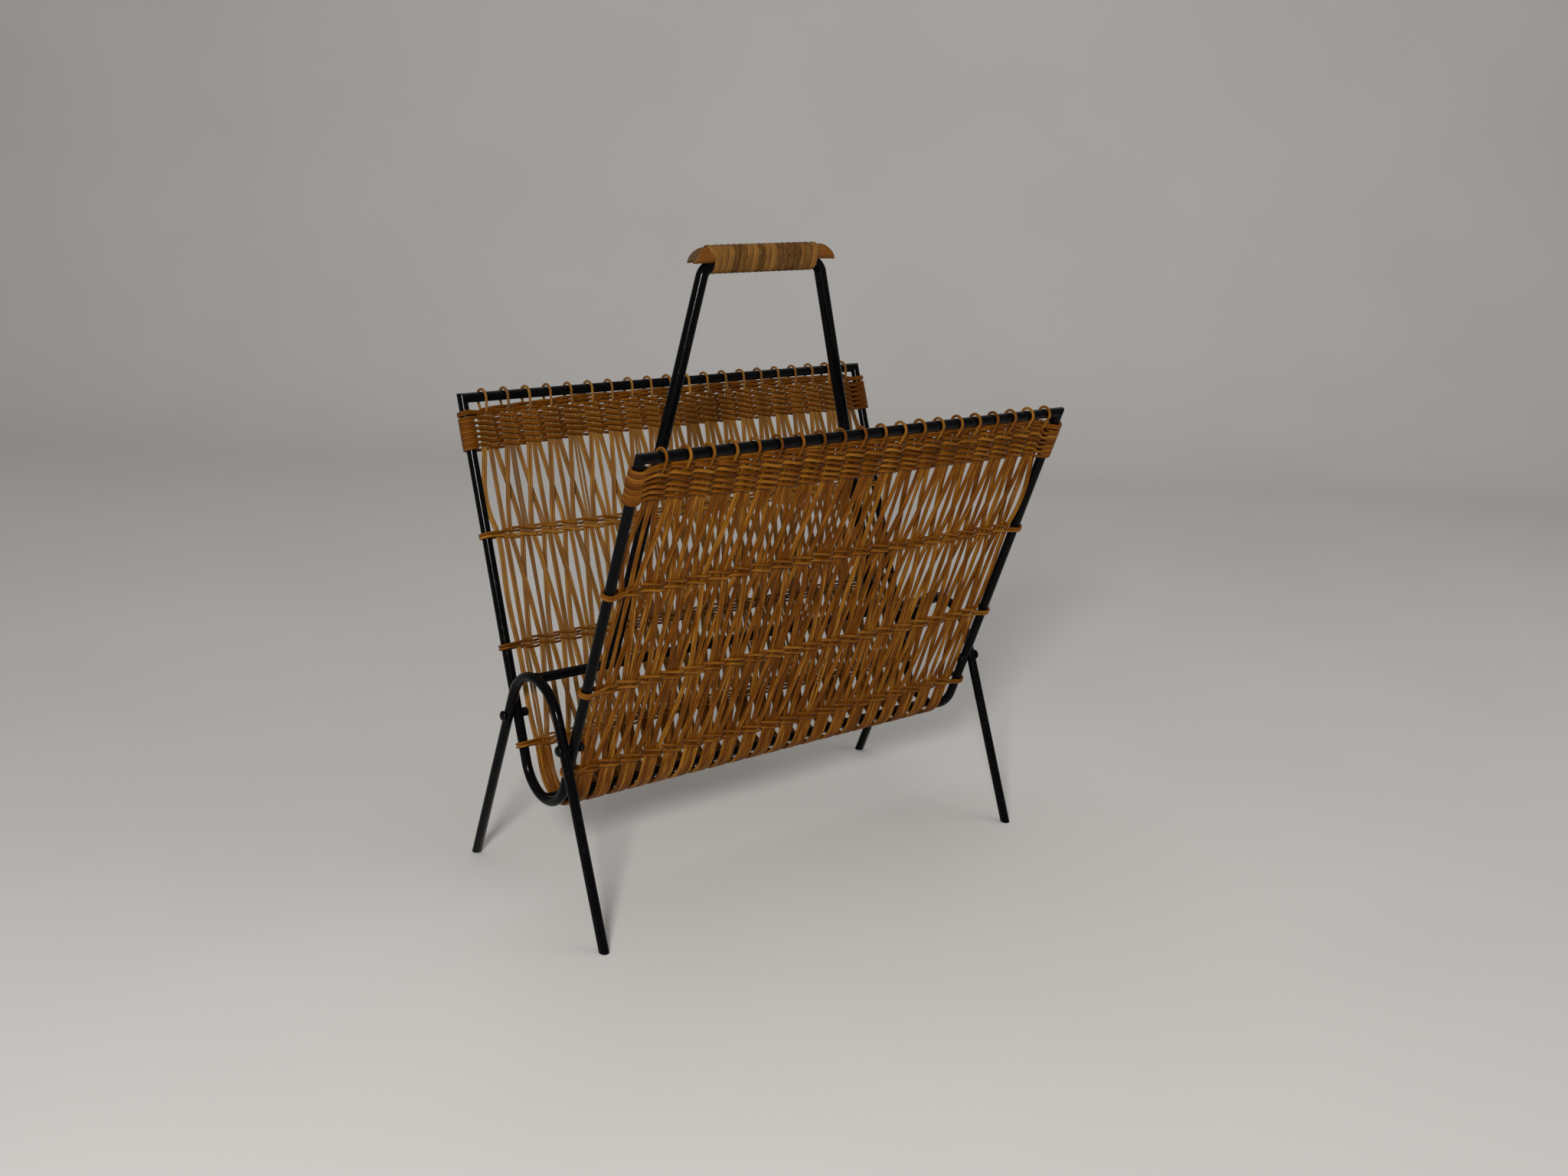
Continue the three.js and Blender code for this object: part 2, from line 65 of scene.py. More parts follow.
def linear(hex_colour):
    """An sRGB hex colour as linear red, green and blue."""
    shares = [int(hex_colour[place:place + 2], 16) / 255 for place in (1, 3, 5)]
    return tuple(c / 12.92 if c <= 0.04045 else ((c + 0.055) / 1.055) ** 2.4 for c in shares)


def length(name, description, millimetres):
    """A size that a user can change, given in millimetres."""
    return FloatProperty(
        name=name, description=description, default=millimetres * MM, min=0.0, unit="LENGTH")


def colour(name, description, hex_colour):
    """A colour that a user can change, given as sRGB hex."""
    return FloatVectorProperty(name=name, description=description, default=linear(hex_colour), size=3,
                               subtype="COLOR", min=0.0, max=1.0)


# Sizes and colours that a user would change

class BasketRods(PropertyGroup):
    frame_rod: length("Frame rod", "Thickness of the rod of hoops, rails and bottom bar", 8)
    leg_rod: length("Leg rod", "Thickness of the rod of legs and stretcher", 8)
    bow_rod: length("Handle rod", "Thickness of the rod of the handle bow", 10)
    basket_length: length("Basket length", "Between the end hoops' centrelines", 410)
    rail_span: length("Rail span", "Between the two rails' centrelines", 262)
    rail_height: length("Rail height", "Of the rails' centrelines over the floor", 383)
    hoop_bottom: length("Hoop bottom", "Of the hoops' lowest centreline over the floor", 85)
    hoop_bend: length("Hoop bend", "Radius of the hoops' round bottom", 32)
    foot_span: length("Foot span", "Between a hairpin leg's feet", 206)
    peak_height: length("Peak height", "Of the hairpin legs' peaks over the floor", 187)
    peak_bend: length("Peak bend", "Radius of the hairpin legs' round top", 38)
    bow_foot_span: length("Handle foot span", "Between the handle bow's feet on the stretcher", 275)
    bow_top_span: length("Handle top span", "Between the corners of the handle bow", 113)
    bow_height: length("Handle height", "Of the handle bar's centreline over the floor", 496.5)
    bow_bend: length("Handle bend", "Radius of the handle bow's corners", 11)
    bow_shift: FloatProperty(
        name="Handle shift", description="Of the handle along the basket", default=-8 * MM, unit="LENGTH")
    bow_tilt: FloatProperty(
        name="Handle tilt", description="Of the handle bar, its left end lower", default=math.radians(0.6),
        unit="ROTATION")
    bolt_shank: length("Bolt shank", "Thickness of the bolts", 4)
    bolt_head: length("Bolt head", "Width of the bolts' heads", 9)
    nut_across: length("Nut width", "Across the nuts' flats", 7)


class BasketWicker(PropertyGroup):
    strand: length("Strand", "Thickness of the round rattan core", 2.3)
    weaver: length("Weaver", "Thickness of the core that the top bands are twined with", 2.6)
    stake_count: IntProperty(name="Stakes", description="Stakes of a panel", default=20, min=4)
    stake_margin: length("Stake margin", "From an end hoop's centreline to the first stake", 17)
    band_start: length("Band start", "Down the slope from the rail's centreline", 7.3)
    band_end: length("Band end", "Down the slope from the rail's centreline", 40)
    band_courses: IntProperty(
        name="Band courses", description="Courses of the top band", default=BAND_COURSES, min=1)
    first_row: length("First row", "Down the slope from the rail's centreline", 112)
    second_row: length("Second row", "Down the slope from the rail's centreline", 202)
    third_row: length("Third row", "Down the slope from the rail's centreline", 280)
    seed: IntProperty(name="Seed", description="Of what hand work leaves uneven", default=7)


class BasketGrip(PropertyGroup):
    pole_width: length("Pole width", "Of the rattan pole on the handle bar", 13.5)
    pole_rise: length("Pole rise", "Of the pole's middle over the handle bar's", 8)
    pole_flat: length("Pole flat", "Of the flat underside below the pole's middle", 5)
    pole_length: length("Pole length", "Along the pole's underside", 140)
    pole_top_length: length("Pole top length", "Along the pole's top, between its slanted ends", 124)
    bind_length: length("Binding length", "Along the bar", 103)
    bind_turns: FloatProperty(name="Turns", description="Turns of the binding cane", default=16.5, min=1.0)
    cane_thickness: length("Cane thickness", "Of the flat binding cane", 1.2)


class BasketColours(PropertyGroup):
    enamel: colour("Enamel", "Gloss black enamel of the rods", "#050506")
    enamel_dust: colour("Enamel dust", "Dull specks on the enamel", "#141313")
    bolt_black: colour("Bolt black", "Bolts, nuts and their thinner paint", "#080809")
    bolt_bare: colour("Bolt, bare", "Steel that shows through the bolts' paint", "#2c2a28")
    reed_dark: colour("Reed, dark", "Where the varnish lies thick on the rattan core", "#3c1c03")
    reed_mid: colour("Reed, middle", "Varnished rattan core", "#6a3b09")
    reed_pale: colour("Reed, pale", "Rattan core with little varnish", "#966620")
    # Painted light: the paler colour that is mixed into the back panel's more brightly lit strands
    reed_painted_light: colour("Reed, bare", "Rattan core whose varnish has worn thin", "#8c6c3c")
    cane_dark: colour("Cane, dark", "Stained strips of the binding cane", "#321b06")
    cane_pale: colour("Cane, pale", "Clean strips of the binding cane", "#7b5424")
    pole_skin: colour("Pole skin", "Varnished skin of the rattan pole", "#754817")
    pole_streak: colour("Pole streak", "Darker streaks of the pole's skin", "#5c3510")
    pole_end: colour("Pole end", "Cut ends of the rattan pole", "#57442f")
    pole_pore: colour("Pole pore", "Pores of the cut ends", "#3e3020")
    floor: colour("Floor", "Floor and backdrop", "#d4d1cd")


def plan():
    """Lines and places that several pieces share, worked out from the sizes."""
    scene = bpy.context.scene
    rods, wicker, grip = scene.basket_rods, scene.basket_wicker, scene.basket_grip
    made = SimpleNamespace(rods=rods, wicker=wicker, grip=grip, colours=scene.basket_colours)
    made.frame_radius = rods.frame_rod / 2
    made.leg_radius = rods.leg_rod / 2
    made.bow_radius = rods.bow_rod / 2
    made.hoop_x = rods.basket_length / 2
    made.leg_x = made.hoop_x + made.frame_radius + WELD_GAP + made.leg_radius
    made.hoop_centre = rods.hoop_bottom + rods.hoop_bend
    made.peak_centre = rods.peak_height - rods.peak_bend
    made.panel_lean = lean_to(rods.rail_span / 2, rods.rail_height - made.hoop_centre, rods.hoop_bend)
    made.leg_lean = lean_to(rods.foot_span / 2, made.peak_centre, rods.peak_bend)
    panel_slope, leg_slope = math.tan(made.panel_lean), math.tan(made.leg_lean)
    made.bolt_height = ((rods.foot_span - rods.rail_span) / 2 + rods.rail_height * panel_slope) / (
        panel_slope + leg_slope)
    made.bolt_span = rods.foot_span / 2 - made.bolt_height * leg_slope
    bow_rise = rods.bow_height - rods.peak_height
    made.bow_lean = math.atan((rods.bow_foot_span - rods.bow_top_span) / 2 / bow_rise)
    made.stake_pitch = (rods.basket_length - 2 * wicker.stake_margin) / (wicker.stake_count - 1)
    first_stake = -made.hoop_x + wicker.stake_margin
    made.stakes = [first_stake + n * made.stake_pitch for n in range(wicker.stake_count)]
    made.strand_radius = wicker.strand / 2
    return made


# Clearance between welded pieces, as in the frame, and between laced ones, which lie half as far apart as
# the frame's
WELD_GAP = 0.3 * MM
LACE_GAP = 0.15 * MM


def lean_to(half_span, rise, radius):
    """Lean from the vertical of a straight run that starts at a half span and touches a round end."""
    return math.acos(radius / math.hypot(half_span, rise)) - math.atan2(rise, half_span)


# Lines

def arc(centre, radius, start, end, steps):
    """Points of an arc in a plane, angles in radians."""
    angles = np.linspace(start, end, steps + 1)
    return np.stack([centre[0] + radius * np.cos(angles), centre[1] + radius * np.sin(angles)], axis=1)


def in_space(x, y, z):
    """Points from coordinates, each a number or an array."""
    return np.stack(np.broadcast_arrays(*(np.asarray(c, float) for c in (x, y, z))), axis=1)


def on_panel(made, side, x, out, down):
    """Points of a panel in space: along the rail, out of the basket and down the slope from the rail.
    The back panel is the front one turned half round."""
    sine, cosine = math.sin(made.panel_lean), math.cos(made.panel_lean)
    y = -made.rods.rail_span / 2 - np.asarray(out) * cosine + np.asarray(down) * sine
    z = made.rods.rail_height - np.asarray(out) * sine - np.asarray(down) * cosine
    turn = -side
    return in_space(np.asarray(x) * turn, y * turn, z)


def down_slope(made, side):
    """The direction from a rail down its panel."""
    return np.array([0.0, -side * math.sin(made.panel_lean), -math.cos(made.panel_lean)])


def eased(points, rounds=2, closed=False):
    """A line with its corners cut, so that it bends as a strand does."""
    for _ in range(rounds):
        following = np.roll(points, -1, 0) if closed else points[1:]
        current = points if closed else points[:-1]
        cut = np.stack([current * 0.75 + following * 0.25, current * 0.25 + following * 0.75], axis=1)
        cut = cut.reshape(-1, 3)
        points = cut if closed else np.concatenate([points[:1], cut, points[-1:]])
    return points


# Meshes

# The least length that a direction is worked out from
LEAST = 1e-12
# How a strand's end is rounded off: its reach and its size, as shares of the strand's radius
ROUNDED_REACH_SHARE = 0.45
ROUNDED_SIZE_SHARE = 0.72
# Each strand takes its grain a step further along the noise, over again after a count that no ring divides
GRAIN_STEP = 13 * MM
GRAIN_STEPS = 977
# Edges sharper than this stay sharp
SHARP_EDGE = math.radians(40)


def unit(vectors):
    """Directions of length 1."""
    return vectors / np.maximum(np.linalg.norm(vectors, axis=-1, keepdims=True), LEAST)


def directions(path, guide, closed):
    """Along, across and up at each point of a line. The guide is the side that across keeps to."""
    along = unit(np.roll(path, -1, 0) - np.roll(path, 1, 0)) if closed else unit(np.gradient(path, axis=0))
    across = unit(guide - (along @ guide)[:, None] * along)
    return along, across, np.cross(along, across)


class Tubes:
    """Round rods or strands gathered into one mesh. Each point also keeps its place in its own strand, for
    the grain, and the strand's shade."""

    def __init__(self, sides):
        self.sides = sides
        self.points, self.faces, self.grain, self.shade = [], [], [], []
        self.count = 0

    def add(self, path, radius, guide, closed=False, cuts=(None, None), rim=0.0, shade=0.5):
        """A tube along a line. A cut is a point and a direction of a plane that the end is trimmed to, with
        a rim's width worn round. Without one the end is rounded off."""
        path = np.asarray(path, float)
        along, across, up = directions(path, np.asarray(guide, float), closed)
        angles = np.arange(self.sides) * (2 * math.pi / self.sides)
        radii = np.broadcast_to(radius, len(path))[:, None, None]
        cosine, sine = np.cos(angles)[None, :, None], np.sin(angles)[None, :, None]
        spokes = cosine * across[:, None] + sine * up[:, None]
        rings = path[:, None] + radii * spokes
        steps = np.linalg.norm(np.diff(path, axis=0), axis=1)
        places = np.concatenate([[0.0], np.cumsum(steps)])
        if not closed:
            rings, places = self.ended(rings, path, along, radii, spokes, places, cuts, rim)
        self.keep(rings, places, angles, radius, shade, closed)

    def ended(self, rings, path, along, radii, spokes, places, cuts, rim):
        """Rings with their ends trimmed or rounded off."""
        rings = list(rings)
        places = list(places)
        for end, cut in enumerate(cuts):
            last = -1 if end else 0
            outward = along[last] if end else -along[last]
            if cut is None:
                reach = float(np.max(radii[last])) * ROUNDED_REACH_SHARE
                extra = [path[last] + outward * reach + radii[last] * spokes[last] * ROUNDED_SIZE_SHARE]
            else:
                point, normal = (np.asarray(v, float) for v in cut)
                slide = ((point - rings[last]) @ normal) / (along[last] @ normal)
                trimmed = rings[last] + slide[:, None] * along[last]
                middle = trimmed.mean(axis=0)
                rings[last] = trimmed - outward * rim
                extra = [middle + (trimmed - middle) * (1 - rim / float(np.max(radii[last])))]
            if end:
                rings.extend(extra)
                places.append(places[-1])
            else:
                rings = extra + rings
                places = [places[0]] + places
        return np.array(rings), np.array(places)

    def keep(self, rings, places, angles, radius, shade, closed):
        """Faces between the rings, and each point's grain and shade."""
        total = len(rings)
        size = self.sides
        near = np.arange(total if closed else total - 1)
        far = (near + 1) % total
        side = np.arange(size)
        following = (side + 1) % size
        quads = np.stack([
            near[:, None] * size + side, near[:, None] * size + following,
            far[:, None] * size + following, far[:, None] * size + side,
        ], axis=2).reshape(-1, 4) + self.count
        self.faces.extend(quads.tolist())
        if not closed:
            self.faces.append((side[::-1] + self.count).tolist())
            self.faces.append((side + (total - 1) * size + self.count).tolist())
        self.points.append(rings.reshape(-1, 3))
        reach = float(np.max(radius))
        offset = (self.count % GRAIN_STEPS) * GRAIN_STEP
        grain = np.stack(np.broadcast_arrays(
            offset + reach * np.cos(angles)[None, :],
            reach * np.sin(angles)[None, :],
            places[:, None]), axis=2)
        self.grain.append(grain.reshape(-1, 3))
        self.shade.append(np.full(total * size, shade))
        self.count += total * size

    def piece(self, name, material, slot, *nodes):
        """The gathered tubes as one piece of the basket."""
        mesh = bpy.data.meshes.new(name)
        mesh.from_pydata(np.concatenate(self.points), [], self.faces)
        grain = mesh.attributes.new("grain", "FLOAT_VECTOR", "POINT")
        grain.data.foreach_set("vector", np.concatenate(self.grain).astype(np.float32).ravel())
        shade = mesh.attributes.new("shade", "FLOAT", "POINT")
        shade.data.foreach_set("value", np.concatenate(self.shade).astype(np.float32))
        return placed(mesh, material, slot, *nodes)


def placed(mesh, material, slot, *nodes):
    """A smooth-shaded piece of the basket that stands for its nodes of the frame."""
    mesh.validate()
    mesh.shade_smooth()
    mesh.set_sharp_from_angle(angle=SHARP_EDGE)
    piece = bpy.data.objects.new(mesh.name, mesh)
    bpy.context.scene.collection.objects.link(piece)
    piece.data.materials.append(material)
    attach(piece, "root")
    if nodes:
        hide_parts(*nodes)
    return piece


def lofted(name, rings):
    """A closed mesh through rings of points that go round the same way."""
    rings = np.asarray(rings, float)
    total, size = rings.shape[:2]
    faces = []
    for ring in range(total - 1):
        for side in range(size):
            following = (side + 1) % size
            faces.append((ring * size + side, ring * size + following,
                          (ring + 1) * size + following, (ring + 1) * size + side))
    faces.append(tuple(range(size))[::-1])
    faces.append(tuple((total - 1) * size + side for side in range(size)))
    mesh = bpy.data.meshes.new(name)
    mesh.from_pydata(rings.reshape(-1, 3), [], faces)
    return mesh


# Materials

def add(tree, kind, inputs=None, **settings):
    """A node with its settings, input values and links."""
    node = tree.nodes.new(kind)
    for name, value in settings.items():
        setattr(node, name, value)
    for name, value in (inputs or {}).items():
        if isinstance(value, bpy.types.NodeSocket):
            tree.links.new(value, node.inputs[name])
        else:
            node.inputs[name].default_value = value
    return node


def new_material(name):
    """An empty material, its node tree and its output."""
    material = bpy.data.materials.get(name)
    if material:
        return material, None, None
    material = bpy.data.materials.new(name)
    material.use_nodes = True
    material.node_tree.nodes.clear()
    return material, material.node_tree, add(material.node_tree, "ShaderNodeOutputMaterial")


def stretched(tree, across_mm, along_mm):
    """The grain coordinates of a strand, scaled so that one unit is the given size across and along it."""
    place = add(tree, "ShaderNodeAttribute", attribute_name="grain")
    scale = (1 / (across_mm * MM), 1 / (across_mm * MM), 1 / (along_mm * MM))
    scaled = add(tree, "ShaderNodeVectorMath", {0: place.outputs["Vector"], 1: scale}, operation="MULTIPLY")
    return scaled.outputs[0]


def rgba(value):
    """A colour with full opacity, as sockets take it."""
    return (*value, 1.0)


def enamel_on_rod(made):
    """Black stove enamel sprayed on bent rod: a deep gloss with a faint orange peel, so that lamps draw
    long thin broken lights on it, and a few dull specks."""
    material, tree, output = new_material("black_enamel_sprayed_rod")
    if not tree:
        return material
    place = add(tree, "ShaderNodeTexCoord").outputs["Object"]
    # orange peel of sprayed enamel, about 2.5 mm from hump to hump
    peel = add(tree, "ShaderNodeTexNoise", {"Vector": place, "Scale": 1 / (2.5 * MM), "Detail": 2.0})
    # dust and rubbed spots, about 6 mm apart
    dust = add(tree, "ShaderNodeTexNoise", {
        "Vector": place, "Scale": 1 / (6 * MM), "Detail": 5.0, "Roughness": 0.7})
    dull = add(tree, "ShaderNodeMapRange", {
        "Value": dust.outputs["Fac"], "From Min": 0.55, "From Max": 0.75, "To Min": 0.13, "To Max": 0.3})
    tint = add(tree, "ShaderNodeMapRange", {
        "Value": dust.outputs["Fac"], "From Min": 0.55, "From Max": 0.78, "To Min": 0.0, "To Max": 1.0})
    shade = add(tree, "ShaderNodeMix", {
        "Factor": tint.outputs["Result"], 6: rgba(made.colours.enamel), 7: rgba(made.colours.enamel_dust)},
        data_type="RGBA")
    bump = add(tree, "ShaderNodeBump", {
        "Strength": 0.3, "Distance": 0.1 * MM, "Height": peel.outputs["Fac"]})
    surface = add(tree, "ShaderNodeBsdfPrincipled", {
        "Base Color": shade.outputs[2], "Roughness": dull.outputs["Result"], "IOR": 1.5,
        "Specular IOR Level": 0.08, "Normal": bump.outputs["Normal"]})
    tree.links.new(surface.outputs["BSDF"], output.inputs["Surface"])
    return material


def painted_bolt_steel(made):
    """Steel bolts brushed over with thin black paint: duller than the rods, with specks of bare metal."""
    material, tree, output = new_material("black_painted_bolt_steel")
    if not tree:
        return material
    place = add(tree, "ShaderNodeTexCoord").outputs["Object"]
    # brush marks, about 0.8 mm apart
    marks = add(tree, "ShaderNodeTexNoise", {"Vector": place, "Scale": 1 / (0.8 * MM), "Detail": 3.0})
    worn = add(tree, "ShaderNodeMapRange", {
        "Value": marks.outputs["Fac"], "From Min": 0.6, "From Max": 0.7, "To Min": 0.0, "To Max": 0.4})
    shade = add(tree, "ShaderNodeMix", {
        "Factor": worn.outputs["Result"], 6: rgba(made.colours.bolt_black),
        7: rgba(made.colours.bolt_bare)}, data_type="RGBA")
    bump = add(tree, "ShaderNodeBump", {
        "Strength": 0.3, "Distance": 0.1 * MM, "Height": marks.outputs["Fac"]})
    surface = add(tree, "ShaderNodeBsdfPrincipled", {
        "Base Color": shade.outputs[2], "Roughness": 0.24, "Metallic": worn.outputs["Result"],
        "Specular IOR Level": 0.12, "Normal": bump.outputs["Normal"]})
    tree.links.new(surface.outputs["BSDF"], output.inputs["Surface"])
    return material


def varnished_rattan_core(made, bare=0.0, name="rattan_core_varnished"):
    """Round rattan core, peeled, steamed and varnished honey brown: long open fibres with dark pores,
    strands of unlike shade, darker where the varnish ran together, and a soft wet shine. A given share of
    a paler colour can be mixed in as painted light, for strands that the light falls on more fully."""
    material, tree, output = new_material(name)
    if not tree:
        return material
    shade = add(tree, "ShaderNodeAttribute", attribute_name="shade")
    # fibres about 0.35 mm across that run on for about 14 mm
    fibres = add(tree, "ShaderNodeTexNoise", {
        "Vector": stretched(tree, 0.35, 14), "Scale": 1.0, "Detail": 2.0})
    # pools of varnish and sapwood, about 22 mm long
    pools = add(tree, "ShaderNodeTexNoise", {"Vector": stretched(tree, 5, 22), "Scale": 1.0, "Detail": 3.0})
    # dark pores, about 0.3 mm across and 3 mm long: drawn several times coarser than they are, to show
    pores = add(tree, "ShaderNodeTexNoise", {
        "Vector": stretched(tree, 0.28, 3.2), "Scale": 1.0, "Detail": 1.0})
    strand_part = add(tree, "ShaderNodeMath", {0: shade.outputs["Fac"], 1: 0.32}, operation="MULTIPLY")
    pool_part = add(tree, "ShaderNodeMath", {
        0: pools.outputs["Fac"], 1: 0.75, 2: strand_part.outputs[0]}, operation="MULTIPLY_ADD")
    level = add(tree, "ShaderNodeMath", {
        0: fibres.outputs["Fac"], 1: 0.35, 2: pool_part.outputs[0]}, operation="MULTIPLY_ADD")
    ramp = add(tree, "ShaderNodeValToRGB", {"Fac": level.outputs[0]})
    stops = ((0.4, made.colours.reed_dark), (0.7, made.colours.reed_mid), (0.96, made.colours.reed_pale))
    ramp.color_ramp.elements.new(0.5)
    for stop, (place, value) in zip(ramp.color_ramp.elements, stops):
        stop.position = place
        stop.color = rgba(value)
    # Painted light: a given share of the paler colour mixed in, for more brightly lit strands
    worn = add(tree, "ShaderNodeMix", {
        "Factor": bare, 6: ramp.outputs["Color"], 7: rgba(made.colours.reed_painted_light)}, data_type="RGBA")
    pitted = add(tree, "ShaderNodeMapRange", {
        "Value": pores.outputs["Fac"], "From Min": 0.28, "From Max": 0.4, "To Min": 0.55, "To Max": 1.0})
    final = add(tree, "ShaderNodeMix", {
        "Factor": 1.0, 6: worn.outputs[2], 7: pitted.outputs["Result"]}, data_type="RGBA",
        blend_type="MULTIPLY")
    rough = add(tree, "ShaderNodeMapRange", {
        "Value": pools.outputs["Fac"], "From Min": 0.3, "From Max": 0.7, "To Min": 0.28, "To Max": 0.45})
    bump = add(tree, "ShaderNodeBump", {
        "Strength": 0.35, "Distance": 0.12 * MM, "Height": fibres.outputs["Fac"]})
    surface = add(tree, "ShaderNodeBsdfPrincipled", {
        "Base Color": final.outputs[2], "Roughness": rough.outputs["Result"], "IOR": 1.5,
        "Specular IOR Level": 0.06, "Coat Weight": 0.09, "Coat Roughness": 0.1,
        "Normal": bump.outputs["Normal"]})
    tree.links.new(surface.outputs["BSDF"], output.inputs["Surface"])
    return material


def split_binding_cane(made):
    """Flat cane split from the rattan's skin: harder and glossier than the core, with fine lengthwise lines
    and strips stained unlike by hands and varnish."""
    material, tree, output = new_material("rattan_skin_binding_cane")
    if not tree:
        return material
    shade = add(tree, "ShaderNodeAttribute", attribute_name="shade")
    # lines of the skin, about 0.5 mm apart and 20 mm long
    lines = add(tree, "ShaderNodeTexNoise", {
        "Vector": stretched(tree, 0.5, 20), "Scale": 1.0, "Detail": 3.0})
    # stains about 7 mm long
    stains = add(tree, "ShaderNodeTexNoise", {
        "Vector": stretched(tree, 2, 7), "Scale": 1.0, "Detail": 4.0})
    stain_part = add(tree, "ShaderNodeMath", {
        0: stains.outputs["Fac"], 1: 1.1, 2: shade.outputs["Fac"]}, operation="MULTIPLY_ADD")
    level = add(tree, "ShaderNodeMath", {
        0: lines.outputs["Fac"], 1: 1.0, 2: stain_part.outputs[0]}, operation="MULTIPLY_ADD")
    tone = add(tree, "ShaderNodeMapRange", {
        "Value": level.outputs[0], "From Min": 1.0, "From Max": 2.0, "To Min": 0.0, "To Max": 1.0})
    tint = add(tree, "ShaderNodeMix", {
        "Factor": tone.outputs["Result"], 6: rgba(made.colours.cane_dark), 7: rgba(made.colours.cane_pale)},
        data_type="RGBA")
    bump = add(tree, "ShaderNodeBump", {
        "Strength": 0.5, "Distance": 0.12 * MM, "Height": lines.outputs["Fac"]})
    surface = add(tree, "ShaderNodeBsdfPrincipled", {
        "Base Color": tint.outputs[2], "Roughness": 0.36, "IOR": 1.5, "Specular IOR Level": 0.08,
        "Coat Weight": 0.12, "Coat Roughness": 0.1, "Normal": bump.outputs["Normal"]})
    tree.links.new(surface.outputs["BSDF"], output.inputs["Surface"])
    return material


def varnished_rattan_pole(made):
    """A thick rattan pole with its skin on, varnished: smooth with long faint streaks, and on the slanted
    cuts the open grain shows greyer, full of round pores."""
    material, tree, output = new_material("rattan_pole_varnished")
    if not tree:
        return material
    coordinates = add(tree, "ShaderNodeTexCoord")
    # streaks of the skin, about 1.2 mm across and 30 mm long
    streak_scale = (1 / (30 * MM), 1 / (1.2 * MM), 1 / (1.2 * MM))
    streak_place = add(tree, "ShaderNodeVectorMath", {
        0: coordinates.outputs["Object"], 1: streak_scale}, operation="MULTIPLY")
    streaks = add(tree, "ShaderNodeTexNoise", {
        "Vector": streak_place.outputs[0], "Scale": 1.0, "Detail": 3.0})
    # pores of the cut ends, about 0.7 mm apart
    pores = add(tree, "ShaderNodeTexVoronoi", {
        "Vector": coordinates.outputs["Object"], "Scale": 1 / (0.7 * MM)})
    skin_shade = add(tree, "ShaderNodeMapRange", {
        "Value": streaks.outputs["Fac"], "From Min": 0.3, "From Max": 0.7, "To Min": 0.0, "To Max": 1.0})
    skin = add(tree, "ShaderNodeMix", {
        "Factor": skin_shade.outputs["Result"], 6: rgba(made.colours.pole_streak),
        7: rgba(made.colours.pole_skin)}, data_type="RGBA")
    end_shade = add(tree, "ShaderNodeMapRange", {
        "Value": pores.outputs["Distance"], "From Min": 0.1, "From Max": 0.35, "To Min": 0.0,
        "To Max": 1.0})
    end = add(tree, "ShaderNodeMix", {
        "Factor": end_shade.outputs["Result"], 6: rgba(made.colours.pole_pore),
        7: rgba(made.colours.pole_end)}, data_type="RGBA")
    face = add(tree, "ShaderNodeAttribute", attribute_name="cut_end")
    both = add(tree, "ShaderNodeMix", {
        "Factor": face.outputs["Fac"], 6: skin.outputs[2], 7: end.outputs[2]}, data_type="RGBA")
    rough = add(tree, "ShaderNodeMapRange", {
        "Value": face.outputs["Fac"], "From Min": 0.0, "From Max": 1.0, "To Min": 0.34, "To Max": 0.7})
    bump = add(tree, "ShaderNodeBump", {
        "Strength": 0.25, "Distance": 0.15 * MM, "Height": streaks.outputs["Fac"]})
    surface = add(tree, "ShaderNodeBsdfPrincipled", {
        "Base Color": both.outputs[2], "Roughness": rough.outputs["Result"], "IOR": 1.5,
        "Specular IOR Level": 0.12, "Normal": bump.outputs["Normal"]})
    tree.links.new(surface.outputs["BSDF"], output.inputs["Surface"])
    return material


def matte_paper_floor(made):
    """Matte pale paper sweep under and behind the basket: no gloss, so it only takes soft shadows."""
    material, tree, output = new_material("paper_sweep_matte")
    if not tree:
        return material
    place = add(tree, "ShaderNodeTexCoord").outputs["Object"]
    # faint clouding, about 300 mm wide
    clouds = add(tree, "ShaderNodeTexNoise", {"Vector": place, "Scale": 1 / (300 * MM), "Detail": 2.0})
    tint = add(tree, "ShaderNodeMapRange", {
        "Value": clouds.outputs["Fac"], "From Min": 0.3, "From Max": 0.7, "To Min": 0.96, "To Max": 1.0})
    shade = add(tree, "ShaderNodeMix", {
        "Factor": 1.0, 6: rgba(made.colours.floor), 7: tint.outputs["Result"]}, data_type="RGBA",
        blend_type="MULTIPLY")
    surface = add(tree, "ShaderNodeBsdfPrincipled", {"Base Color": shade.outputs[2], "Roughness": 0.9})
    tree.links.new(surface.outputs["BSDF"], output.inputs["Surface"])
    return material


# Steel rods

ROD_SIDES = 28
BEND_STEPS = 30
FOOT_RIM = 0.5 * MM
# How far the bow's feet reach down over the top of the stretcher
BOW_SEAT = 1.2 * MM
# Weld beads: radius, sides, points round, ripples as their count round and their share of the bead's reach,
# and how fast the ripples' place changes along the basket, in radians a metre
BEAD_RADIUS = 0.9 * MM
BEAD_SIDES = 8
BEAD_STEPS = 40
RIPPLE_SHARES = ((5, 0.03), (9, 0.02))
RIPPLE_SHIFT = 30
# The bead round a foot of the bow, in shares of the bow's radius: along the stretcher, across it, and how
# far it is drawn in. Its lowest level is a share of the stretcher's radius.
BOW_BEAD_ALONG_SHARE = 1.03
BOW_BEAD_ACROSS_SHARE = 0.98
BOW_BEAD_DRAWN_SHARE = 0.92
BOW_BEAD_LOW_SHARE = 0.72


def enamelled(made, rod, name, *nodes):
    """A rod, or its weld beads, under the frame's enamel."""
    rod.piece(name, enamel_on_rod(made), "black_steel", *nodes)


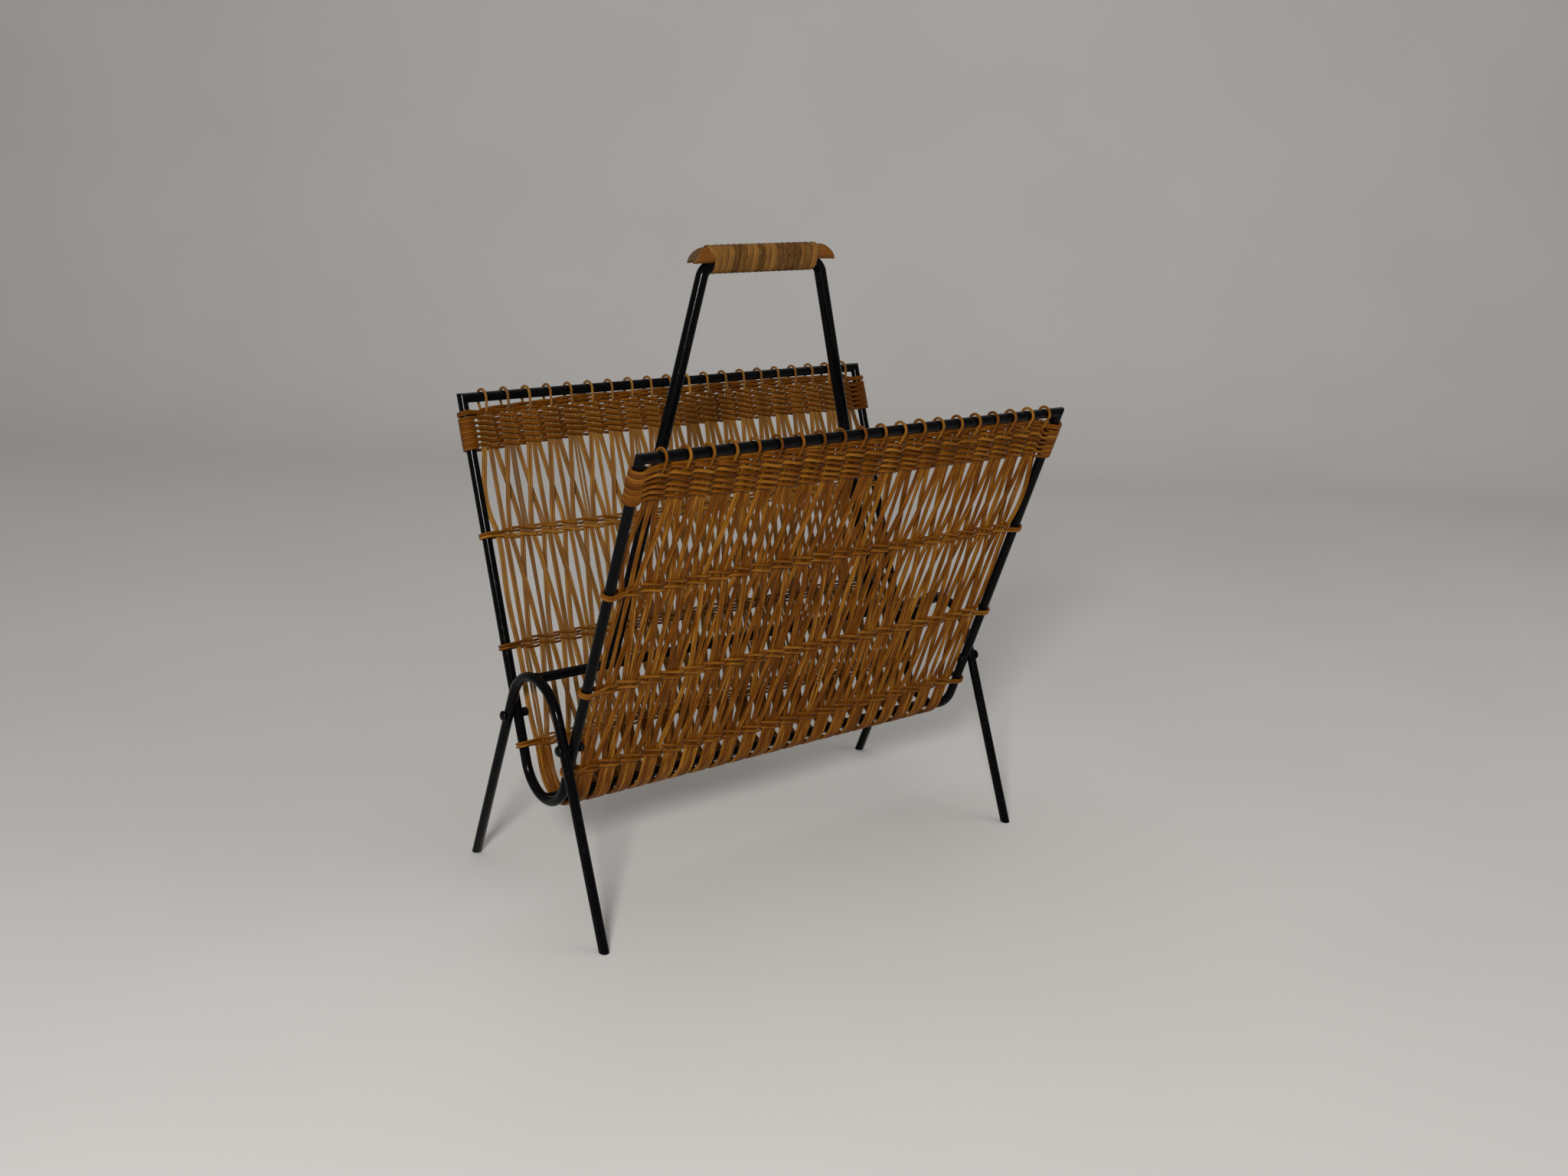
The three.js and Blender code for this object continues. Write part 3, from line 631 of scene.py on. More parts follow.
def hoop_line(made):
    """The left hoop seen from its end, from the front corner round the bottom to the back corner."""
    rods = made.rods
    bend = arc((0, made.hoop_centre), rods.hoop_bend, math.pi + made.panel_lean,
               2 * math.pi - made.panel_lean, BEND_STEPS)
    half = rods.rail_span / 2
    return np.concatenate([[(-half, rods.rail_height)], bend, [(half, rods.rail_height)]])


def mitre_planes(made, end):
    """The planes that a hoop and its rails meet on, at the front and at the back."""
    rods = made.rods
    planes = []
    for side in (FRONT, BACK):
        corner = np.array([end * made.hoop_x, side * rods.rail_span / 2, rods.rail_height])
        planes.append((corner, unit(-end * AXIS_X - down_slope(made, side))))
    return planes


def make_hoops(made):
    """End hoops, each one bent rod, mitred where the rails meet them."""
    line = hoop_line(made)
    for end, name in ENDS:
        rod = Tubes(ROD_SIDES)
        path = in_space(end * made.hoop_x, line[:, 0], line[:, 1])
        rod.add(path, made.frame_radius, AXIS_X, cuts=mitre_planes(made, end))
        enamelled(made, rod, f"{name}_hoop_rod", f"{name}_hoop")


def make_rails(made):
    """Straight top rails between the hoops' mitres."""
    for side, name in PANELS:
        rod = Tubes(ROD_SIDES)
        y = side * made.rods.rail_span / 2
        path = in_space([-made.hoop_x, 0, made.hoop_x], y, made.rods.rail_height)
        place = (side + 1) // 2
        cuts = (mitre_planes(made, -1)[place], mitre_planes(made, 1)[place])
        rod.add(path, made.frame_radius, AXIS_Y, cuts=cuts)
        enamelled(made, rod, f"{name}_rail_rod", f"{name}_rail")


def make_cross_bars(made):
    """The bottom bar and the stretcher, which run on to the middle of the rods that they are welded to."""
    for name, node, half, radius, height in (
            ("bottom_bar_rod", "bottom_bar", made.hoop_x, made.frame_radius, made.rods.hoop_bottom),
            ("stretcher_rod", "stretcher_bar", made.leg_x, made.leg_radius, made.rods.peak_height)):
        rod = Tubes(ROD_SIDES)
        cuts = (((-half, 0, 0), AXIS_X), ((half, 0, 0), AXIS_X))
        rod.add(in_space([-half, 0, half], 0, height), radius, AXIS_Y, cuts=cuts)
        enamelled(made, rod, name, node)


def make_hairpin_legs(made):
    """Legs bent to a narrow round peak, their feet cut level with a worn rim."""
    rods = made.rods
    bend = arc((0, made.peak_centre), rods.peak_bend, made.leg_lean, math.pi - made.leg_lean, BEND_STEPS)
    half = rods.foot_span / 2
    line = np.concatenate([[(half, 0)], bend, [(-half, 0)]])
    ground = ((0, 0, 0), AXIS_Z)
    for end, name in ENDS:
        rod = Tubes(ROD_SIDES)
        path = in_space(end * made.leg_x, line[:, 0], line[:, 1])
        rod.add(path, made.leg_radius, AXIS_X, cuts=(ground, ground), rim=FOOT_RIM)
        enamelled(made, rod, f"{name}_hairpin_rod", f"{name}_hairpin_leg")


def bow_line(made):
    """The handle bow seen from the front, from its right foot over the bar to its left foot."""
    rods = made.rods
    bend_x = rods.bow_top_span / 2 - rods.bow_bend * math.tan((math.pi / 2 - made.bow_lean) / 2)
    bend_z = rods.bow_height - rods.bow_bend
    right = arc((bend_x, bend_z), rods.bow_bend, made.bow_lean, math.pi / 2, BEND_STEPS // 2)
    right = np.concatenate([[(rods.bow_foot_span / 2, rods.peak_height)], right])
    left = right[::-1] * (-1, 1)
    return np.concatenate([right, left])


def tilted(made, points):
    """Points of the handle, set a little out of level as hand bending leaves it."""
    rods = made.rods
    points = np.array(points, float)
    share = (points[..., 2] - rods.peak_height) / (rods.bow_height - rods.peak_height)
    points[..., 2] += share * (points[..., 0] - rods.bow_shift) * math.tan(rods.bow_tilt)
    return points


def make_handle_bow(made):
    """The bow of thicker rod, its feet cut to sit over the stretcher."""
    line = bow_line(made)
    rod = Tubes(ROD_SIDES)
    seat = ((0, 0, made.rods.peak_height + made.leg_radius - BOW_SEAT), AXIS_Z)
    path = tilted(made, in_space(line[:, 0] + made.rods.bow_shift, 0, line[:, 1]))
    rod.add(path, made.bow_radius, AXIS_Y, cuts=(seat, seat))
    enamelled(made, rod, "handle_bow_rod", "handle_bow")


def saddle(x_rod, height, radius, facing, shift):
    """The line where a bar along X meets a rod of the same radius, rippled as a weld bead is."""
    angles = np.linspace(0, 2 * math.pi, BEAD_STEPS, endpoint=False)
    y = radius * np.cos(angles)
    z = radius * np.sin(angles)
    x = facing * np.sqrt(np.maximum(radius ** 2 - z ** 2, 0))
    wave = 1 + sum(share * np.sin(count * angles + number * shift)
                   for number, (count, share) in enumerate(RIPPLE_SHARES, 1))
    return in_space(x_rod + x, y * wave, height + z * wave)


def make_weld_beads(made):
    """Small ground-down beads where bars and bow are welded on, under the same enamel."""
    rods = made.rods
    for name, x, height, radius in (
            ("bottom_bar_welds", made.hoop_x, rods.hoop_bottom, made.frame_radius),
            ("stretcher_welds", made.leg_x, rods.peak_height, made.leg_radius)):
        beads = Tubes(BEAD_SIDES)
        for end, _ in ENDS:
            line = saddle(end * x, height, radius, -end, end + x * RIPPLE_SHIFT)
            beads.add(line, BEAD_RADIUS, AXIS_X, closed=True)
        enamelled(made, beads, name)
    beads = Tubes(BEAD_SIDES)
    angles = np.linspace(0, 2 * math.pi, BEAD_STEPS, endpoint=False)
    y = made.bow_radius * BOW_BEAD_ACROSS_SHARE * np.sin(angles)
    lowest = made.leg_radius * BOW_BEAD_LOW_SHARE
    rise = np.sqrt(np.maximum(made.leg_radius ** 2 - y ** 2, lowest ** 2))
    for end, _ in ENDS:
        foot = end * (rods.bow_foot_span / 2 - rise * math.tan(made.bow_lean)) + rods.bow_shift
        x = foot + made.bow_radius * BOW_BEAD_ALONG_SHARE * np.cos(angles)
        line = in_space(x, y * BOW_BEAD_DRAWN_SHARE, rods.peak_height + rise)
        beads.add(line, BEAD_RADIUS, AXIS_Z, closed=True)
    enamelled(made, beads, "handle_bow_welds")


# Bolts and nuts

BOLT_STEPS = 32
NUT_STEPS = 48
HEAD_HEIGHT = 3 * MM
NUT_THICKNESS = 3.2 * MM
# How far the shanks come out of the nuts, their chamfer there, and the step under the head
SHANK_TAIL = 1.5 * MM
SHANK_CHAMFER = 0.5 * MM
SHANK_STEP = 0.05 * MM
SHANK_TIP_SHARE = 0.7
# The head's rim as a share of its radius, and where its round top starts and ends
HEAD_RIM_SHARE = 0.96
DOME_ANGLES = np.linspace(math.radians(12), math.radians(86), 8)
# The nut's corners are ground off near its faces, to a share of its half width across flats
NUT_CORNER_SHARE = 1.04
NUT_RING_SHARES = (1, 0.86, 0.14, 0)


def turned(profile):
    """Rings of a turned form about X, from (x, radius) points."""
    angles = np.linspace(0, 2 * math.pi, BOLT_STEPS, endpoint=False)
    return [in_space(x, radius * np.cos(angles), radius * np.sin(angles)) for x, radius in profile]


def make_bolts(made):
    """Round-headed bolts through legs and hoops, and hexagon nuts with ground corners on the inside."""
    rods = made.rods
    head, shank, flat = rods.bolt_head / 2, rods.bolt_shank / 2, rods.nut_across / 2
    head_seat = made.leg_x + made.leg_radius + WELD_GAP
    nut_seat = made.hoop_x - made.frame_radius - WELD_GAP
    tip = nut_seat - NUT_THICKNESS - SHANK_TAIL
    dome = [(head_seat + HEAD_HEIGHT * math.sin(a), head * math.cos(a)) for a in DOME_ANGLES]
    profile = [(tip, shank * SHANK_TIP_SHARE), (tip + SHANK_CHAMFER, shank),
               (head_seat - SHANK_STEP, shank), (head_seat, head * HEAD_RIM_SHARE), *dome]
    angles = np.linspace(0, 2 * math.pi, NUT_STEPS, endpoint=False)
    hexagon = flat / np.cos((angles + math.pi / 6) % (math.pi / 3) - math.pi / 6)
    ground = np.minimum(hexagon, flat * NUT_CORNER_SHARE)
    for end, end_name in ENDS:
        for side, side_name in PANELS:
            place = np.array([0, side * made.bolt_span, made.bolt_height])
            bolt = [ring * (end, 1, 1) + place for ring in turned(profile)]
            nut = []
            for share in NUT_RING_SHARES:
                radius = ground if share in (0, 1) else hexagon
                x = end * (nut_seat - NUT_THICKNESS * share)
                nut.append(in_space(x, radius * np.cos(angles), radius * np.sin(angles)) + place)
            corner = f"{end_name}_{side_name}"
            for name, rings, node in (("bolt_head", bolt, "bolt"), ("hex_nut", nut, "nut")):
                mesh = lofted(f"{corner}_{name}", rings if end > 0 else rings[::-1])
                placed(mesh, painted_bolt_steel(made), "bolt_steel", f"{corner}_{node}")


# Wicker

STRAND_SIDES = 8
# Each kind of work draws its unevenness from a seed of its own
STAKE_SEED = 10
BAND_SEED = 100
ROW_SEED = 1000
BUNDLE_SEED = 5
BINDING_SEED = 77
# Strands differ in shade by this middle and spread, and in thickness between these shares of it
SHADE_MIDDLE = 0.5
SHADE_SPREAD = 0.22
THICKNESS_SHARES = (0.92, 1.04)
# Painted light: the share of a paler colour mixed into the back panel's strands, which the light falls on
# more fully
BACK_PAINTED_LIGHT_SHARE = 0.3
# Painted shade: the back band's weavers keep this share of their shade, so the inside of the basket looks
# shaded
BACK_BAND_PAINTED_SHADE = 0.35
# How far above the band's lower edge a stake's strands lie side by side
GATHERED = 6 * MM
# How far below the band's start the strands without a loop begin, hidden by its first course
STRAND_START = 4 * MM
# Places of a stake's straight strands between two rows, as shares of the way down, and how far they stray
STRAIGHT_SHARES = (0.3, 0.7)
STRAIGHT_STRAY = 0.8 * MM
# Loops: how far below the band's start their legs meet, how far apart the legs are above that, how high up
# the slope this is and how far below it they lie side by side
LOOP_LEG = 6.2 * MM
LOOP_SPREAD = 4.1 * MM
LOOP_RISE = 5.2 * MM
LOOP_END = 1.5 * MM
# The loop leaves the rail this far round from straight down, and sits this much too high on it
LOOP_ANGLE = math.radians(52)
LOOP_POINTS = 17
LOOP_LIFT = 0.5 * MM
# What is uneven about a loop: how slack it is, how slanted, and where its legs meet
LOOP_SLACK = 0.5 * MM
LOOP_SLANT = 0.3 * MM
LOOP_STRAY = 0.8 * MM
# How far an edge strand bows to the side rod below the band and below each row, how that is shared along
# the way, and how far off it still is at the rows
EDGE_BOWS = (7.5 * MM, 3.5 * MM, 2.0 * MM)
EDGE_SHARES = ((0.25, 0.55), (0.5, 1.0), (0.75, 0.9))
EDGE_ROW = 1.6 * MM
# How far from a stake's middle the strands of its outer pairs lie, in shares of a strand's radius, and how
# far down from one row to the next they cross
PAIR_SHARES = (3, 5)
CROSS_SHARES = (0.41, 0.48, 0.48)
# Places of a crossing strand between two rows, as shares of the way down
CROSSING_SHARES = (0.2, 0.42, 0.64, 0.84)
# A crossing strand keeps to its stake this far above and below a row, and above its lower end
ROW_ABOVE = 2 * MM
ROW_BELOW = 1.5 * MM
ROW_END = 2.5 * MM
# What is uneven about a crossing pair: where it crosses, how close its two strands lie, in shares of a
# strand's radius, and how far a place strays between rows and at a row
CROSS_STRAY_SHARE = 0.04
PINCH_SHARE = 0.55
CROSSING_STRAY = 0.35 * MM
ROW_STRAY = 0.15 * MM
# How much of a crossing strand's shade it has from its pair
PAIR_SHADE_SHARE = 0.6
# From rib to rib where a weaver goes round a rod more than once
RIB_PITCH = 2.2 * MM
# How closely the courses of a band draw together round the rods, as a share of their distance in the panel
DRAWN_SHARE = 0.94
# The first course of a band is two courses between the legs of the loops: how far above its middle each
# lies, and its reach as a share of the other courses'
TUCKED_LIFTS = (3.6 * MM, 0.5 * MM)
TUCKED_SHARES = (0.36, 0.6)
# How far the other courses are pushed up towards the rail
PUSHED_UP = 0.8 * MM
# How far a weaver stands off a stake's strands, how flat it lies over them, and how far it climbs from one
# crossing to the next
WEAVER_PLAY = 0.1 * MM
WEAVER_FLAT_SHARE = 0.86
WEAVER_RISE = 1.4 * MM
# How far the front's weavers ride up the slope where they pass outside a stake, and down it inside
FRONT_RIDE = 1.5 * MM
# How far a weaver lies on past an end stake, in shares of the stakes' pitch
EDGE_SHARE = 0.27
# Points of a weaver from stake to stake, on its first way round a rod, and on each turn more
WEAVE_STEPS = 11
HUG_STEPS = 15
TURN_STEPS = 22
# A weaver lies on a side rod this far round to either side of straight out
HUG_ANGLE = math.radians(103.6)
# What is uneven about a weaver: its level, and its climb and its reach as shares of themselves
WEAVER_STRAY = 0.35 * MM
CLIMB_STRAY_SHARE = 0.22
REACH_STRAY_SHARE = 0.07
# A row's two courses lie this far off its middle in the panel and on the rods. The row drifts up and down
# slowly, one radian of the drift over the length of its wave.
ROW_HALF = 2.6 * MM
ROW_ROD_HALF = 1.2 * MM
ROW_DRIFT = 0.9 * MM
ROW_WAVE = 60 * MM
# Bottom bundles: places of the strands in shares of a strand's radius, how they swell under the bar, and
# how far a bundle and a strand stray there
BUNDLE_SHARES = (-5, -3, -1, 1, 3, 5)
BUNDLE_SWELL_SHARE = 0.02
BUNDLE_STRAY = 0.6 * MM
MEMBER_STRAY = 0.25 * MM
BUNDLE_STEPS = 20
# How far the band has slid down the slope, in millimetres at these reaches from its left and its right rod
SLIDE_REACHES = (0, 17, 37, 57, 100)
FRONT_SLIDES = ((-4, -4.2, -3, -2, 0), (1.2, 1, 0.6, 0.3, 0))
BACK_SLIDES = ((1, 0.8, 0.5, 0.2, 0), (3.5, 4, 3, 2.2, 0))


class Uneven:
    """Small differences that hand work leaves, the same on each run."""

    def __init__(self, seed):
        self.draw = random.Random(seed)

    def shade(self):
        return min(1.0, max(0.0, self.draw.gauss(SHADE_MIDDLE, SHADE_SPREAD)))

    def thickness(self, radius):
        return radius * self.draw.uniform(*THICKNESS_SHARES)

    def off(self, most):
        return self.draw.uniform(-most, most)

    def up_to(self, most):
        return self.draw.uniform(0, most)


def make_stakes(made):
    """Six strands to a stake. Two are the ends of one strand looped over the rail, and a pair on each side
    of them crosses to the neighbouring stake and back, row by row."""
    wicker = made.wicker
    radius = made.strand_radius
    for side, name in PANELS:
        uneven = Uneven(wicker.seed + STAKE_SEED * side)
        straight, crossing = Tubes(STRAND_SIDES), Tubes(STRAND_SIDES)
        for index, x in enumerate(made.stakes):
            looped_strand(made, straight, side, x, uneven)
            for share in PAIR_SHARES:
                if index == 0:
                    edge_strand(made, straight, side, x - share * radius, -1, uneven)
                if index == wicker.stake_count - 1:
                    edge_strand(made, straight, side, x + share * radius, 1, uneven)
            if index < wicker.stake_count - 1:
                for starts_right in (False, True):
                    crossing_pair(made, crossing, side, index, starts_right, uneven)
        # The back panel's strands take painted light: a share of a paler colour mixed into their reed
        if side == FRONT:
            reed = varnished_rattan_core(made)
        else:
            reed = varnished_rattan_core(made, BACK_PAINTED_LIGHT_SHARE, "rattan_core_painted_light")
        straight.piece(f"{name}_stake_strands", reed, "rattan", f"{name}_stakes")
        crossing.piece(f"{name}_crossing_strands", reed, "rattan", f"{name}_stakes")


def row_places(made):
    """The band's lower edge and the three rows, down the slope."""
    wicker = made.wicker
    return [wicker.band_end, wicker.first_row, wicker.second_row, wicker.third_row]


def laid_strand(made, net, side, places, rounds, thickness, shade):
    """A strand through places in the panel: along the rail, out of the basket and down the slope."""
    places = np.array(places)
    path = eased(on_panel(made, side, places[:, 0], places[:, 1], places[:, 2]), rounds)
    net.add(path, thickness, AXIS_X, shade=shade)


def straight_run(made, x, start, uneven):
    """Places along a strand that keeps to its stake, down to the third row."""
    rows = row_places(made)
    places = [(x, 0.0, start), (x, 0.0, rows[0] - GATHERED)]
    for upper, lower in zip(rows, rows[1:]):
        places.append((x + uneven.off(STRAIGHT_STRAY / 4), 0.0, upper))
        bow, lift = uneven.off(STRAIGHT_STRAY), uneven.off(STRAIGHT_STRAY)
        for share in STRAIGHT_SHARES:
            places.append((x + bow, lift, upper + (lower - upper) * share))
    places.append((x, 0.0, rows[-1]))
    return places


def looped_strand(made, net, side, x, uneven):
    """A stake's two middle strands, which are one strand hung over the rail."""
    radius = made.strand_radius
    thickness = uneven.thickness(radius)
    hug = made.frame_radius + LACE_GAP + thickness + uneven.up_to(LOOP_SLACK)
    slant = radius + uneven.off(LOOP_SLANT)
    leave = made.wicker.band_start + LOOP_LEG + uneven.off(LOOP_STRAY)
    angles = np.linspace(LOOP_ANGLE, 2 * math.pi - LOOP_ANGLE, LOOP_POINTS)
    shares = np.linspace(0, 1, LOOP_POINTS)
    loop = [(x + slant * (1 - 2 * share), hug * math.sin(a), hug * math.cos(a) - LOOP_LIFT)
            for share, a in zip(shares, angles)]
    legs = [(x + end * radius, end * LOOP_SPREAD, leave - LOOP_RISE) for end in (1, -1)]
    outer = straight_run(made, x + radius, leave + LOOP_END, uneven)
    inner = straight_run(made, x - radius, leave + LOOP_END, uneven)
    places = [*outer[::-1], legs[0], *loop, legs[1], *inner]
    laid_strand(made, net, side, places, 2, thickness, uneven.shade())


def edge_strand(made, net, side, x, end, uneven):
    """The outer strand of an end stake, which bows out to the side rod between the rows."""
    rows = row_places(made)
    places = [(x, 0.0, made.wicker.band_start + STRAND_START), (x, 0.0, rows[0])]
    for upper, lower, bow in zip(rows, rows[1:], EDGE_BOWS):
        for share, part in EDGE_SHARES:
            places.append((x + end * bow * part, 0.0, upper + (lower - upper) * share))
        places.append((x + end * EDGE_ROW, 0.0, lower))
    places[-1] = (x, 0.0, rows[-1])
    laid_strand(made, net, side, places, 3, uneven.thickness(made.strand_radius), uneven.shade())


def crossing_pair(made, net, side, index, starts_right, uneven):
    """Two strands that go side by side to the next stake and back, row by row."""
    radius = made.strand_radius
    rows = row_places(made)
    where = [share + uneven.off(CROSS_STRAY_SHARE) for share in CROSS_SHARES]
    pinch = [radius * uneven.up_to(PINCH_SHARE) for _ in rows[1:]]
    facing = 1 if starts_right else -1
    pair_shade = uneven.shade()
    for member, near, far in ((-1, *PAIR_SHARES), (1, *PAIR_SHARES[::-1])):
        left, right = made.stakes[index] + near * radius, made.stakes[index + 1] - far * radius
        x_here, x_next = (right, left) if starts_right else (left, right)
        places = [(x_here, 0.0, made.wicker.band_start + STRAND_START), (x_here, 0.0, rows[0] - GATHERED)]
        for upper, lower, cross, squeeze in zip(rows, rows[1:], where, pinch):
            places.append((x_here, 0.0, upper - ROW_ABOVE))
            places.append((x_here + uneven.off(ROW_STRAY), 0.0, upper + ROW_BELOW))
            for share in CROSSING_SHARES:
                swell = math.sin(math.pi * share)
                across = x_here + (x_next - x_here) * min(1.0, share / (2 * cross))
                across -= member * squeeze * swell
                out = facing * radius * (0.5 + swell) + member * squeeze * swell
                places.append((across + uneven.off(CROSSING_STRAY), out, upper + (lower - upper) * share))
            x_here, x_next = x_next, x_here
        places.append((x_here, 0.0, rows[-1] - ROW_END))
        places.append((x_here, 0.0, rows[-1]))
        thickness = uneven.thickness(radius)
        shade = PAIR_SHADE_SHARE * pair_shade + (1 - PAIR_SHADE_SHARE) * uneven.shade()
        laid_strand(made, net, side, places, 2, thickness, shade)


def weaver_loop(made, place, rod_place, ribs, radius, ride, depth, settle, uneven):
    """The strand of a twined course: outside one stake and inside the next, round the right hoop's rod,
    back on the other face of each stake, and round the left hoop's rod. Each rod gets the given count of
    ribs."""
    wicker = made.wicker
    last = wicker.stake_count - 1
    share = np.linspace(-EDGE_SHARE, last + EDGE_SHARE, WEAVE_STEPS * last)
    stakes = np.arange(wicker.stake_count)
    x = made.stakes[0] + share * made.stake_pitch
    stray = np.interp(share, stakes, [uneven.off(WEAVER_STRAY) for _ in stakes])
    climb = np.interp(share, stakes, [1 + uneven.off(CLIMB_STRAY_SHARE) for _ in stakes])
    bow = np.interp(share, stakes, [1 + uneven.off(REACH_STRAY_SHARE) for _ in stakes])
    swing = np.sin(np.clip(np.cos(math.pi * share) / WEAVER_FLAT_SHARE, -1, 1) * math.pi / 2)
    reach = (made.strand_radius + radius + WEAVER_PLAY) * swing * bow * depth
    level = place + settle(x) + stray
    rise = WEAVER_RISE * np.sin(math.pi * share) * climb * depth - ride * swing
    hug = made.frame_radius + LACE_GAP + radius
    more_turns = 2 * math.pi * (ribs - 1)
    lead = RIB_PITCH * (HUG_ANGLE + more_turns / 2) / (2 * math.pi)
    edge = np.clip(np.maximum(-share, share - last) / EDGE_SHARE, 0, 1)
    edge_level = rod_place + settle(x)
    going = np.stack([x, reach, (level + rise) * (1 - edge) + (edge_level - lead) * edge], axis=1)
    coming = np.stack([x, -reach, (level - rise) * (1 - edge) + (edge_level + lead) * edge], axis=1)[::-1]
    angles = np.linspace(-HUG_ANGLE, HUG_ANGLE + more_turns, HUG_STEPS + TURN_STEPS * (ribs - 1))
    wraps = []
    for end in (1, -1):
        centre = rod_place + float(settle(np.array([end * made.hoop_x]))[0])
        down = centre + end * RIB_PITCH * (angles - more_turns / 2) / (2 * math.pi)
        round_x = end * (made.hoop_x + hug * np.cos(angles))
        wraps.append(np.stack([round_x, hug * np.sin(angles), down], axis=1))
    return np.concatenate([going, wraps[0], coming, wraps[1]])


def weave_course(made, side, course, place, rod_place, ribs, radius, settle, uneven, depth=1.0,
                 painted_shade_share=1.0):
    """Twines one strand through a panel and adds it to a course."""
    ride = FRONT_RIDE * depth if side == FRONT else 0.0
    loop = weaver_loop(made, place, rod_place, ribs, radius, ride, depth, settle, uneven)
    path = on_panel(made, side, loop[:, 0], loop[:, 1], loop[:, 2])
    thickness = uneven.thickness(radius)
    # The strand's shade is scaled by its painted shade share, which darkens the back band as painted shade
    course.add(path, thickness, down_slope(made, side), closed=True, shade=uneven.shade() * painted_shade_share)


def band_settle(made, side):
    """How far the band's courses have slid down the slope, along the panel."""
    reaches = np.array(SLIDE_REACHES) * MM
    left, right = FRONT_SLIDES if side == FRONT else BACK_SLIDES

    def settle(x):
        from_left = np.interp(x + made.hoop_x, reaches, np.array(left) * MM)
        from_right = np.interp(made.hoop_x - x, reaches, np.array(right) * MM)
        return from_left + from_right
    return settle


def tucked_settle(made, side):
    """The courses right under the rail can slide down with the others, but not up into it."""
    settle = band_settle(made, side)
    return lambda x: np.maximum(settle(x), 0.0)


def make_bands(made):
    """Dense top bands, each course of which goes twice round the side rods but for the first."""
    wicker = made.wicker
    pitch = (wicker.band_end - wicker.band_start) / wicker.band_courses
    middle = (wicker.band_start + wicker.band_end) / 2
    for side, panel in PANELS:
        for number in range(wicker.band_courses):
            uneven = Uneven(wicker.seed + BAND_SEED * (number + 1) + side)
            place = wicker.band_start + (number + 0.5) * pitch
            rod_place = middle + (place - middle) * DRAWN_SHARE
            course = Tubes(STRAND_SIDES)
            # Painted shade: the back band's weavers are darkened as the shaded inside of the basket
            painted_shade_share = 1.0 if side == FRONT else BACK_BAND_PAINTED_SHADE
            if number:
                weave_course(made, side, course, place - PUSHED_UP, rod_place, 2, wicker.weaver / 2,
                             band_settle(made, side), uneven, painted_shade_share=painted_shade_share)
            else:
                for lift, depth in zip(TUCKED_LIFTS, TUCKED_SHARES):
                    weave_course(made, side, course, place - lift, rod_place - lift / 2, 1, wicker.weaver / 2,
                                 tucked_settle(made, side), uneven, depth, painted_shade_share)
            course.piece(f"{panel}_band_weaver_{number + 1}", varnished_rattan_core(made), "rattan",
                         f"{panel}_band_{number + 1}")


def make_rows(made):
    """Rows of two courses each, which draw together round the rods."""
    wicker = made.wicker
    rows = (wicker.first_row, wicker.second_row, wicker.third_row)
    for side, panel in PANELS:
        for index, place in enumerate(rows):
            uneven = Uneven(wicker.seed + ROW_SEED * (index + 1) + side)
            course = Tubes(STRAND_SIDES)
            phase = uneven.off(math.pi)

            def settle(x):
                return ROW_DRIFT * np.sin(x / ROW_WAVE + phase)

            for half in (-1, 1):
                weave_course(made, side, course, place + half * ROW_HALF, place + half * ROW_ROD_HALF, 1,
                             made.strand_radius, settle, uneven)
            node = f"{panel}_row_{index + 1}" if place != wicker.third_row else "bottom_stakes"
            course.piece(f"{panel}_row_weavers_{index + 1}", varnished_rattan_core(made), "rattan", node)


def make_bottom_bundles(made):
    """The six strands of each stake side by side, from the front's third row under the bottom bar to the
    back's."""
    rods, wicker = made.rods, made.wicker
    radius = made.strand_radius
    lowest = rods.hoop_bottom - made.frame_radius - LACE_GAP - radius
    sine, cosine = math.sin(made.panel_lean), math.cos(made.panel_lean)
    bend = ((rods.rail_span / 2) * cosine - (rods.rail_height - lowest) * sine) / (1 - sine)
    start = np.array([wicker.third_row * sine - rods.rail_span / 2,
                      rods.rail_height - wicker.third_row * cosine])
    curve = arc((0, lowest + bend), bend, math.pi + made.panel_lean, 2 * math.pi - made.panel_lean,
                BUNDLE_STEPS)
    line = np.concatenate([[start], [(start + curve[0]) / 2], curve, [(start * (-1, 1) + curve[-1]) / 2],
                           [start * (-1, 1)]])
    uneven = Uneven(wicker.seed + BUNDLE_SEED)
    bundles = Tubes(STRAND_SIDES)
    middle = np.sin(np.linspace(0, math.pi, len(line)))
    for x in made.stakes:
        drift = uneven.off(BUNDLE_STRAY)
        for share in BUNDLE_SHARES:
            swell = 1 + BUNDLE_SWELL_SHARE * middle
            place = x + share * radius * swell + middle * (drift + uneven.off(MEMBER_STRAY))
            path = in_space(place, line[:, 0], line[:, 1])
            bundles.add(path, uneven.thickness(radius), AXIS_X, shade=uneven.shade())
    bundles.piece("bottom_bundle_strands", varnished_rattan_core(made), "rattan", "bottom_stakes")


# Grip

# Rounding of the pole's cut rims, below and on the shoulder, and how far its ends hang
WORN_RIM = 0.9 * MM
WORN_SHOULDER = 4.2 * MM
POLE_DROOP = 0.8 * MM
# Points round the pole and its groove, rings over a cut's rim, and rings from end to end
POLE_STEPS = 36
GROOVE_STEPS = 10
RIM_RINGS = 7
POLE_RINGS = 22
# How far the binding's tail slips in under its last turn
TAIL_SLIP = 7 * MM
# Between the binding's turns in the frame, and as the eye sees it
CANE_GAP = 0.45 * MM
SEEN_CANE_GAP = 0.12 * MM
# The binding in turns: points a turn, how far its start lies before the first, and its tail after the last
TURN_POINTS = 40
START_TURN = 0.1
TAIL_TURN = 0.34
